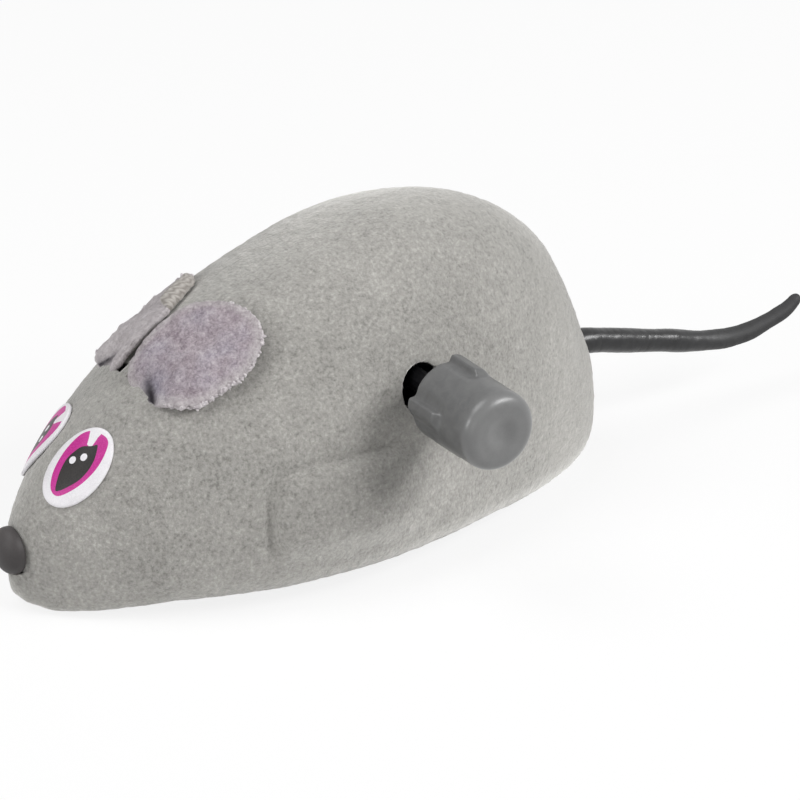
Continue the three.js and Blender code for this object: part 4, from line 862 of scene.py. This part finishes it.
# The far ear's rear edge is folded over: where that comes in, share of the cloth in the flap, its rise,
# the way it leans, and how far it leans by its place along X
FLAP_XS, FLAP_YS = (13.8, 15.4), (4.2, 5.0)
FLAP_SHARE = 0.26
FLAP_RISE = 0.75
FLAP_WAY = np.array([0.371, 0.929])
FLAP_LEAN = ((11.4, 14.1), (0.6, 1.3))
TUFT_COUNT = 190


def along_fold(plan, start, end, width):
    """A soft ridge that is full at its start and fades out at its end."""
    start, way = np.array(start), np.array(end) - np.array(start)
    share = np.clip(((plan - start) @ way) / (way @ way), 0, 1)
    away = np.linalg.norm(plan - start - share[..., None] * way, axis=-1)
    return np.exp(-((away / width) ** 2)) * (1 - smoothstep(0.2, 1, share))


def ear_sheet(side):
    """An ear's middle surface, as a left one, on a square of points: places, cloth, edge share, curl."""
    edge = closed_curve(EAR_EDGES[side], 540)
    edge[:, 1] = np.maximum(edge[:, 1], EAR_GAP[side])
    angle = np.arctan2(edge[:, 1] - EAR_CENTRE[1], edge[:, 0] - EAR_CENTRE[0])
    order = np.argsort(angle)
    reach = np.linalg.norm(edge[:, :2] - EAR_CENTRE, axis=1)[order]
    line = np.linspace(-1, 1, EAR_SPOTS)
    a, b = np.meshgrid(line, line, indexing="ij")
    u, v = a * np.sqrt(1 - b * b / 2), b * np.sqrt(1 - a * a / 2)
    share, turn = np.hypot(u, v), np.arctan2(v, u)
    spread = np.interp(turn, angle[order], reach, period=2 * np.pi)
    lift_edge = np.interp(turn, angle[order], edge[order, 2], period=2 * np.pi)
    way = np.stack([np.cos(turn), np.sin(turn)], -1)
    foot = EAR_CENTRE + way * spread[..., None]
    curl = 1 - smoothstep(*FLAP_XS, foot[..., 0])
    curl = curl * (1 - smoothstep(*FLAP_YS, foot[..., 1])) * (side < 0)
    start = 1 - FLAP_SHARE * curl
    flap = np.clip((share - start) / np.maximum(1 - start, 1e-6), 0, 1)
    turned_up = curl * smoothstep(0, 1, flap)
    lean = np.interp(foot[..., 0], *FLAP_LEAN) * curl * flap**2
    laid = spread * np.minimum(share / start, 1)
    plan = EAR_CENTRE + way * laid[..., None] + FLAP_WAY * lean[..., None]
    lift = share**2 * lift_edge + (1 - share**2) * EAR_CROWN[side]
    lift += EAR_FOLD_RISE[side] * along_fold(plan, *FOLDS["inner"])
    lift += 0.25 * along_fold(plan, *FOLDS["outer"])
    lift += FLAP_RISE * curl * (1 - (1 - flap) ** 2)
    if side < 0:
        dip = np.exp(-(((plan[..., 0] - FAR_DIP["x"]) / FAR_DIP["reach"]) ** 2))
        lift -= FAR_DIP["depth"] * dip * smoothstep(4.0, 6.0, plan[..., 1])
    flat = np.stack([plan[..., 0], plan[..., 1], 0 * lift], -1).reshape(-1, 3)
    lift += 0.18 * grain(flat, 3.2, 10.0 + 5 * side).reshape(lift.shape)
    lift -= (lift + 0.3) * 0.92 * along_fold(plan, *FOLDS["pocket"])
    cloth = EAR_CENTRE + way * (spread * share)[..., None]
    return on_head(plan[..., 0], plan[..., 1], lift), cloth, share, turned_up


def stitches(cloth):
    """Chains of stitches on the ear's back, 0 to 1."""
    row = cloth[..., 0] * 0.82 + cloth[..., 1] * 0.57
    chain = cloth[..., 1] * 0.82 - cloth[..., 0] * 0.57
    slant = np.abs(chain / 0.56 - np.floor(chain / 0.56) - 0.5) * 2
    wave = 0.5 + 0.5 * np.sin(2 * np.pi * (row / 0.42 + 0.55 * slant))
    return wave * (0.35 + 0.65 * np.sin(np.pi * (1 - slant)) ** 0.5)


def make_ear(side, name):
    middle, cloth, share, turned_up = ear_sheet(side)
    normal = unit(np.cross(np.gradient(middle, axis=0), np.gradient(middle, axis=1)))
    size, spots = EAR_SPOTS, EAR_SPOTS**2
    fuzz = ripples(middle.reshape(-1, 3), PILE_RIPPLES).reshape(size, size)
    knit = stitches(cloth)
    over = middle + normal * ((PILE_TOP + fuzz) * (1 - 0.6 * turned_up))[..., None]
    under = middle - normal * (PILE_BACK + 0.08 * knit - 0.04)[..., None]
    loop = [(i, 0) for i in range(size - 1)] + [(size - 1, j) for j in range(size - 1)]
    loop += [(i, size - 1) for i in range(size - 1, 0, -1)] + [(0, j) for j in range(size - 1, 0, -1)]
    rows, columns = np.array(loop).T
    edge_over, edge_under = over[rows, columns], under[rows, columns]
    centre = (edge_over + edge_under) / 2
    along = np.roll(centre, -1, axis=0) - np.roll(centre, 1, axis=0)
    out = unit(np.cross(along, edge_over - edge_under))
    points = [over.reshape(-1, 3), under.reshape(-1, 3)]
    rim = [rows * size + columns]
    for ring, turn in enumerate(np.linspace(0, np.pi, EAR_RIM_RINGS + 2)[1:-1]):
        bulge = 0.3 * math.sin(turn) * (1 + 0.6 * grain(centre, 0.45, 1.0 + turn))
        points.append(centre + (edge_over - centre) * math.cos(turn) + out * bulge[:, None])
        rim.append(2 * spots + ring * len(loop) + np.arange(len(loop)))
    rim.append(rim[0] + spots)
    k = np.arange(spots).reshape(size, size)[:-1, :-1].ravel()
    upper = np.stack([k, k + size, k + size + 1, k + 1], 1)
    bands = [np.stack([a, b, np.roll(b, -1), np.roll(a, -1)], 1) for a, b in zip(rim, rim[1:])]
    pile_faces, back_faces = np.vstack([upper, *bands[:-1]]), np.vstack([upper[:, ::-1] + spots, bands[-1]])
    kinds = [0] * len(pile_faces) + [1] * len(back_faces)
    shown = on_side(side, np.vstack(points), np.vstack([pile_faces, back_faces]).tolist())
    made = piece(name + "_lobe", *shown, [PILE, BACKING], kinds)
    frayed, pale = 0.75, EAR_PALENESS[side]
    shares = {
        "pile_edge": (np.maximum(frayed * smoothstep(0.8, 1.0, share), pale), max(frayed, pale)),
        # The root and pocket shares below carry painted shade.
        "pile_root_tint_and_shade": (along_fold(cloth, *FOLDS["pinch"]), 0),
        "pile_pocket_shade": (along_fold(cloth, *FOLDS["depth"]), 0),
        "stitch": (knit, 0.5),
    }
    for key, (values, at_rim) in shares.items():
        every = np.concatenate([values.ravel(), values.ravel(), np.full(EAR_RIM_RINGS * len(loop), at_rim)])
        made.data.attributes.new(key, "FLOAT", "POINT").data.foreach_set("value", every.astype(np.float32))
    finished(made, "chassis", "ear_fabric", name)
    fringe = make_fringe(side, name, centre, out, normal[rows, columns])


def make_fringe(side, name, centre, out, normal):
    """Frayed tufts along the ear's free edge."""
    draw = random.Random(11 if side > 0 else 12)
    x, y = centre[:, 0], centre[:, 1]
    free = np.nonzero((y > 3.0) & (x < 21.2) & ((y > 6.2) | (x < 12.2)))[0].tolist()
    points, faces = [], []
    sides, rings = 7, 5
    turn = around(sides)[:, None]
    for _ in range(TUFT_COUNT):
        k = draw.choice(free)
        lower = float(smoothstep(6.0, 8.5, y[k]))
        length = draw.uniform(0.12, 0.2 + 0.16 * lower)
        thick = draw.uniform(0.15, 0.22 + 0.08 * lower)
        drift = np.array([draw.gauss(0, 1) for _ in range(3)])
        way = unit(out[k] + normal[k] * draw.uniform(-0.5, 0.3) + 0.4 * drift)
        start = centre[k] + out[k] * draw.uniform(0.02, 0.2) + normal[k] * draw.uniform(-0.25, 0.3)
        bend = 0.3 * np.array([draw.gauss(0, 1) for _ in range(3)])
        first = unit(np.cross(way, [0.3, 0.5, 0.8]))
        circle = first * np.cos(turn) + np.cross(way, first) * np.sin(turn)
        rows = []
        for t in np.linspace(0, 1, rings):
            radius = thick * math.sqrt(1 - 0.9 * t**2.5) * (0.85 + 0.3 * draw.random())
            rows.append(list(range(len(points), len(points) + sides)))
            points.extend(start + way * length * t + bend * length * t * t + radius * circle)
        rows = [[len(points)]] + rows + [[len(points) + 1]]
        points.append(start - way * 0.1)
        points.append(start + way * (length + 0.05) + bend * length)
        faces.extend(joined_rows(rows))
    made = piece(name + "_fringe", *on_side(side, np.array(points), faces), [TUFTS])
    return finished(made, "chassis", "ear_fabric")


make_ear(1, "ear_left")
make_ear(-1, "ear_right")


# Winding knob: a turned form with four fins that run out towards its end
KNOB_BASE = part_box("winding_knob")[0].y / MM
KNOB_LENGTH = 10.1
KNOB_RADIUS = 4.3
KNOB_END_RADIUS = 4.22
KNOB_EDGE = 1.35
DIMPLE_DEPTH = 0.46
KNOB_BORE = [(0, 6.5), (1.3, 6.5), (1.35, 6.4), (1.35, 0.12), (1.45, 0.0)]
KNOB_FOOT = [(2.6, 0.0), (3.6, 0.0), (3.95, 0.02), (4.17, 0.1), (4.27, 0.22)]
FIN_REACH = 0.6
FIN_RUN_OUT = (4.2, 5.3)
# Turn of each fin from up towards the nose, and the way in which its gentle side lies
FINS = ((-11.0, -1), (79.0, 1), (174.0, -1), (259.0, 1))


def fin_radius(radius, height, turn):
    """The knob's radius: fins near its base, steep on one side with a soft dip beside them."""
    rise = np.zeros_like(turn)
    for place, gentle in FINS:
        beside = ((turn - math.radians(place) + np.pi) % (2 * np.pi) - np.pi) * KNOB_RADIUS * gentle
        steep = 1 - smoothstep(0.3, 0.62, -beside) - 0.2 * np.exp(-(((beside + 1.05) / 0.5) ** 2))
        rise += np.where(beside > 0, 1 - smoothstep(0.3, 1.9, beside), steep)
    ends = 1 - smoothstep(*FIN_RUN_OUT, height)
    return radius + FIN_REACH * rise * ends * smoothstep(KNOB_RADIUS - 0.6, KNOB_RADIUS - 0.3, radius)


def make_knob():
    edge, flat = KNOB_EDGE, KNOB_END_RADIUS - KNOB_EDGE
    profile = KNOB_BORE + KNOB_FOOT
    for height in np.linspace(0.4, KNOB_LENGTH - edge, 80):
        share = float(height) / (KNOB_LENGTH - edge)
        profile.append((KNOB_RADIUS + (KNOB_END_RADIUS - KNOB_RADIUS) * share, float(height)))
    for turn in np.linspace(0, math.pi / 2, 17)[1:]:
        profile.append((flat + edge * math.cos(turn), KNOB_LENGTH - edge + edge * math.sin(turn)))
    for radius in np.linspace(flat - 0.15, 0.12, 24):
        share = float(1 - smoothstep(0.3, 2.1, radius))
        profile.append((float(radius), KNOB_LENGTH - DIMPLE_DEPTH * share))
    profile.append((0, KNOB_LENGTH - DIMPLE_DEPTH))
    place = (ARBOR_X, KNOB_BASE, ARBOR_Z)
    made = turned("knob_moulding", profile, "y", place, 320, [KNOB], fin_radius)
    return finished(made, "winder", "knob_plastic", "winding_knob")


make_knob()


# Tail: a tapering rubber tube with rows of scales; its line is places along X and heights over its hole
TAIL_LINE = [(-31.3, 0.0), (-33.6, 0.0), (-36.0, 0.0), (-43.3, -1.8), (-51.7, -4.0), (-57.4, -4.6)]
TAIL_LINE += [(-63.0, -3.4), (-65.6, -1.8)]
TAIL_TAPER = ((0, 0.5, 0.8, 1), (1.5, 1.28, 1.02, 0.7))
TAIL_ANCHOR_RADIUS = 2.4
TAIL_TIP = 0.9
TAIL_POLE = 0.02
TAIL_RIPPLES = ((0.15, 3.6, 1.0), (0.035, 1.2, 6.0), (0.008, 0.5, 9.0))
SCALE_LENGTH = 0.95
SCALES_ROUND = 13
SCALE_RISE = 0.024


def tail_scales(run, turn):
    """Scales in staggered rows, 0 to 1."""
    row = run / SCALE_LENGTH
    number = np.floor(row)[:, None]
    across = turn[None, :] * SCALES_ROUND / (2 * np.pi) + 0.5 * (number % 2) + 0.35 * np.sin(2.4 * number)
    cell = np.abs(across - np.floor(across) - 0.5) * 2
    ahead = row[:, None] - number
    slope = smoothstep(0, 0.3, ahead) * (1 - 0.45 * smoothstep(0.5, 1, ahead))
    return np.sqrt(np.clip(1 - cell**4, 0, 1)) * slope


def make_tail():
    steps, sides = 380, 80
    centre = open_curve([(x, 0, TAIL_Z + z) for x, z in TAIL_LINE], steps)
    way = unit(np.gradient(centre, axis=0))
    run = np.concatenate([[0], np.cumsum(np.linalg.norm(np.diff(centre, axis=0), axis=1))])
    radius = np.interp(run / run[-1], *TAIL_TAPER)
    radius = radius + (TAIL_ANCHOR_RADIUS - radius) * smoothstep(1.5, 1.2, run)
    tip = np.clip((run - run[-1]) / TAIL_TIP + 1, 0, 1)
    radius = radius * np.sqrt(np.maximum(0, 1 - 0.98 * tip**2))
    radius = radius * np.sqrt(np.clip(run / 0.15, 0.05, 1))
    turn = around(sides)
    across = np.array([0, 1.0, 0])
    up = np.cross(way, across)
    round_it = up[:, None] * np.cos(turn)[None, :, None] + across * np.sin(turn)[None, :, None]
    smooth = centre[:, None] + round_it * radius[:, None, None]
    flat = smooth.reshape(-1, 3)
    worn = np.clip(0.45 + 0.9 * grain(flat, 2.6, 8.0).reshape(steps, sides), 0.1, 1)
    wander = ripples(flat, TAIL_RIPPLES).reshape(steps, sides)
    outside = smoothstep(3.6, 4.8, run)[:, None] * (1 - tip[:, None])
    push = outside * (SCALE_RISE * tail_scales(run, turn) * worn + wander - 0.02)
    points = (smooth + round_it * push[..., None]).reshape(-1, 3)
    rows = [list(range(k * sides, (k + 1) * sides)) for k in range(steps)]
    faces = joined_rows([[len(points)]] + rows + [[len(points) + 1]])
    points = np.vstack([points, centre[0] - TAIL_POLE * way[0], centre[-1] + TAIL_POLE * way[-1]])
    made = piece("tail_moulding", points, faces, [TAIL])
    return finished(made, "chassis", "tail_rubber", "tail")


make_tail()


# Running gear: wheels with a dished web, ribbed tyres and the roller
# Each profile is its first half, in pairs of radius and height, up to the middle of its width
WHEEL_INNER, WHEEL_WIDTH = 5.7, 2.6
HUB = [(1.15, 0), (2.2, 0), (2.35, 0.45), (4.1, 0.45), (4.3, 0), (5.3, 0), (5.3, 0.4), (4.8, 0.4)]
TYRE_PROFILE = [(4.95, 0.55), (5.45, 0.55), (5.45, 0), (6.3, 0), (6.62, 0.1), (6.86, 0.3), (6.97, 0.55)]
TYRE_PROFILE += [(7.0, 0.8), (7.0, 1.3)]
BARREL = [(0.95, -2.2), (3.5, -2.2), (3.85, -2.1), (4.08, -1.86), (4.17, -1.5), (4.2, -1.0), (4.2, -0.3)]
BARREL += [(4.05, -0.12)]
RIB_COUNT, RIB_DEPTH = 36, 0.22


def both_halves(half, width):
    back = [(radius, width - height) for radius, height in reversed(half) if height != width / 2]
    return half + back


def rib_radius(radius, height, turn):
    """A tyre's radius round its axis: shallow ribs across the tread."""
    wave = smoothstep(-0.3, 0.3, np.sin(RIB_COUNT * turn))
    return radius - RIB_DEPTH * (1 - wave) * smoothstep(6.5, 6.9, radius)


def make_running_gear():
    hub, tyre = both_halves(HUB, WHEEL_WIDTH), both_halves(TYRE_PROFILE, WHEEL_WIDTH)
    for inner, word in ((WHEEL_INNER, "left"), (-WHEEL_INNER - WHEEL_WIDTH, "right")):
        place = (AXLE[0], inner, AXLE[1])
        made = turned("wheel_%s_hub" % word, hub, "y", place, 96, [BASE], closed=True)
        finished(made, "drive", "base_plastic", "wheel_" + word)
        made = turned("tyre_%s_ribbed" % word, tyre, "y", place, 432, [TYRE], rib_radius, closed=True)
        finished(made, "drive", "tyre_rubber", "tyre_" + word)
    place = (ROLLER[0], 0, ROLLER[1])
    made = turned("front_roller_barrel", both_halves(BARREL, 0), "y", place, 128, [BASE], closed=True)
    finished(made, "roller", "base_plastic", "front_roller")


make_running_gear()


# CAD nodes that stay take a procedural finish and a softened edge
FINISHES = {"base_plastic": BASE, "steel": STEEL, "spring_steel": SPRING, "gear_plastic": GEAR}
SOFT_EDGE = 0.12
SOFT_EDGE_ANGLE = math.radians(40)


def dress_nodes():
    slots = {part["node"]: part["material_slot"] for part in frame["record"]["subparts"]}
    for name, shown in frame["nodes"].items():
        if shown.hide_render:
            continue
        shown.data.materials.clear()
        shown.data.materials.append(BLACKENED if name == "winding_arbor" else FINISHES[slots[name]])
        soften = shown.modifiers.new("soft edge", "BEVEL")
        soften.width = SOFT_EDGE * MM
        soften.segments = 2
        soften.limit_method = "ANGLE"
        soften.angle_limit = SOFT_EDGE_ANGLE


dress_nodes()


# Stage: a pale floor, a white world and round lamps
FLOOR_REACH = 3000.0
FLOOR_WHITENESS = 0.85
WORLD_LIGHT = 0.025
WHITE = (1, 1, 1, 1)
# Direction of each lamp from the middle of the body, its diameter in metres and its power in watts
LAMPS = {
    "key": ((-0.458, 0.679, 0.574), 0.32, 3.5),
    "rim": ((-0.72, 0.45, 0.5), 0.16, 1.1),
    "overhead": ((0.43, -0.14, 0.89), 0.5, 2.8),
    "fill": ((0.94, 0.0, 0.342), 0.2, 1.4),
    "catch": ((0.633, 0.754, 0.174), 0.4, 0.42),
}
LAMP_DISTANCE = 0.7
LAMP_TARGET = Vector((0, 0, 0.015))


def by_ray(tree, plain, white, share=1.0):
    """Shows the camera, reflections and clear things a white share, and soft light the plain shader."""
    path = node(tree, "LightPath").outputs
    seen = math_node(tree, "MAXIMUM", path["Is Camera Ray"], path["Is Transmission Ray"])
    seen = math_node(tree, "MAXIMUM", seen, path["Is Glossy Ray"])
    whiteness = math_node(tree, "MULTIPLY", seen, share)
    return node(tree, "MixShader", Fac=whiteness, i1=plain, i2=white).outputs[0]


def make_stage():
    material, tree = new_material("floor_pale")
    matte = node(tree, "BsdfDiffuse", Color=(0.86, 0.86, 0.86, 1)).outputs[0]
    glow = node(tree, "Emission", Color=WHITE, Strength=1.0).outputs[0]
    clear = node(tree, "BsdfTransparent").outputs[0]
    below = node(tree, "NewGeometry").outputs["Backfacing"]
    pale = by_ray(tree, matte, glow, FLOOR_WHITENESS)
    shown = node(tree, "MixShader", Fac=below, i1=pale, i2=clear).outputs[0]
    node(tree, "OutputMaterial", Surface=shown)
    corners = [(FLOOR_REACH * x, FLOOR_REACH * y, FLOOR_Z) for x, y in ((-1, -1), (1, -1), (1, 1), (-1, 1))]
    piece("floor", corners, [(0, 1, 2, 3)], [material], smooth=False)

    world = bpy.data.worlds.new("studio")
    bpy.context.scene.world = world
    world.use_nodes = True
    tree = world.node_tree
    tree.nodes.clear()
    lit = node(tree, "Background", Color=WHITE, Strength=WORLD_LIGHT).outputs[0]
    white = node(tree, "Background", Color=WHITE, Strength=1.0).outputs[0]
    node(tree, "OutputWorld", Surface=by_ray(tree, lit, white))


def make_lamp(name, way, diameter, power):
    """A round soft lamp that faces the middle of the body."""
    lamp = bpy.data.lights.new(name, "AREA")
    lamp.shape = "DISK"
    lamp.size = diameter
    lamp.energy = power
    made = placed(name, lamp)
    away = Vector(way).normalized()
    made.location = LAMP_TARGET + away * LAMP_DISTANCE
    made.rotation_mode = "QUATERNION"
    made.rotation_quaternion = (-away).to_track_quat("-Z", "Y")


make_stage()
for lamp_name, settings in LAMPS.items():
    make_lamp(lamp_name, *settings)


# Camera: focal length in pixels of the photograph, place in millimetres, and the ways back and right
PHOTO_PIXELS = 800
FOCAL_PIXELS = 4219.5
SENSOR = 36.0
CAMERA_PLACE = Vector((211.55, 340.33, 203.47)) * MM
CAMERA_BACK = Vector((0.4949, 0.755, 0.43)).normalized()
CAMERA_RIGHT = Vector((-0.8363, 0.5483, 0)).normalized()


def make_camera():
    camera = bpy.data.cameras.new("camera")
    camera.sensor_width = SENSOR
    camera.lens = SENSOR * FOCAL_PIXELS / PHOTO_PIXELS
    camera.clip_start = 0.01
    camera.clip_end = 20.0
    made = placed("camera", camera)
    turn = Matrix((CAMERA_RIGHT, CAMERA_BACK.cross(CAMERA_RIGHT), CAMERA_BACK)).transposed()
    made.matrix_world = Matrix.Translation(CAMERA_PLACE) @ turn.to_4x4()
    bpy.context.scene.camera = made


make_camera()
bpy.context.scene.view_settings.view_transform = "Standard"
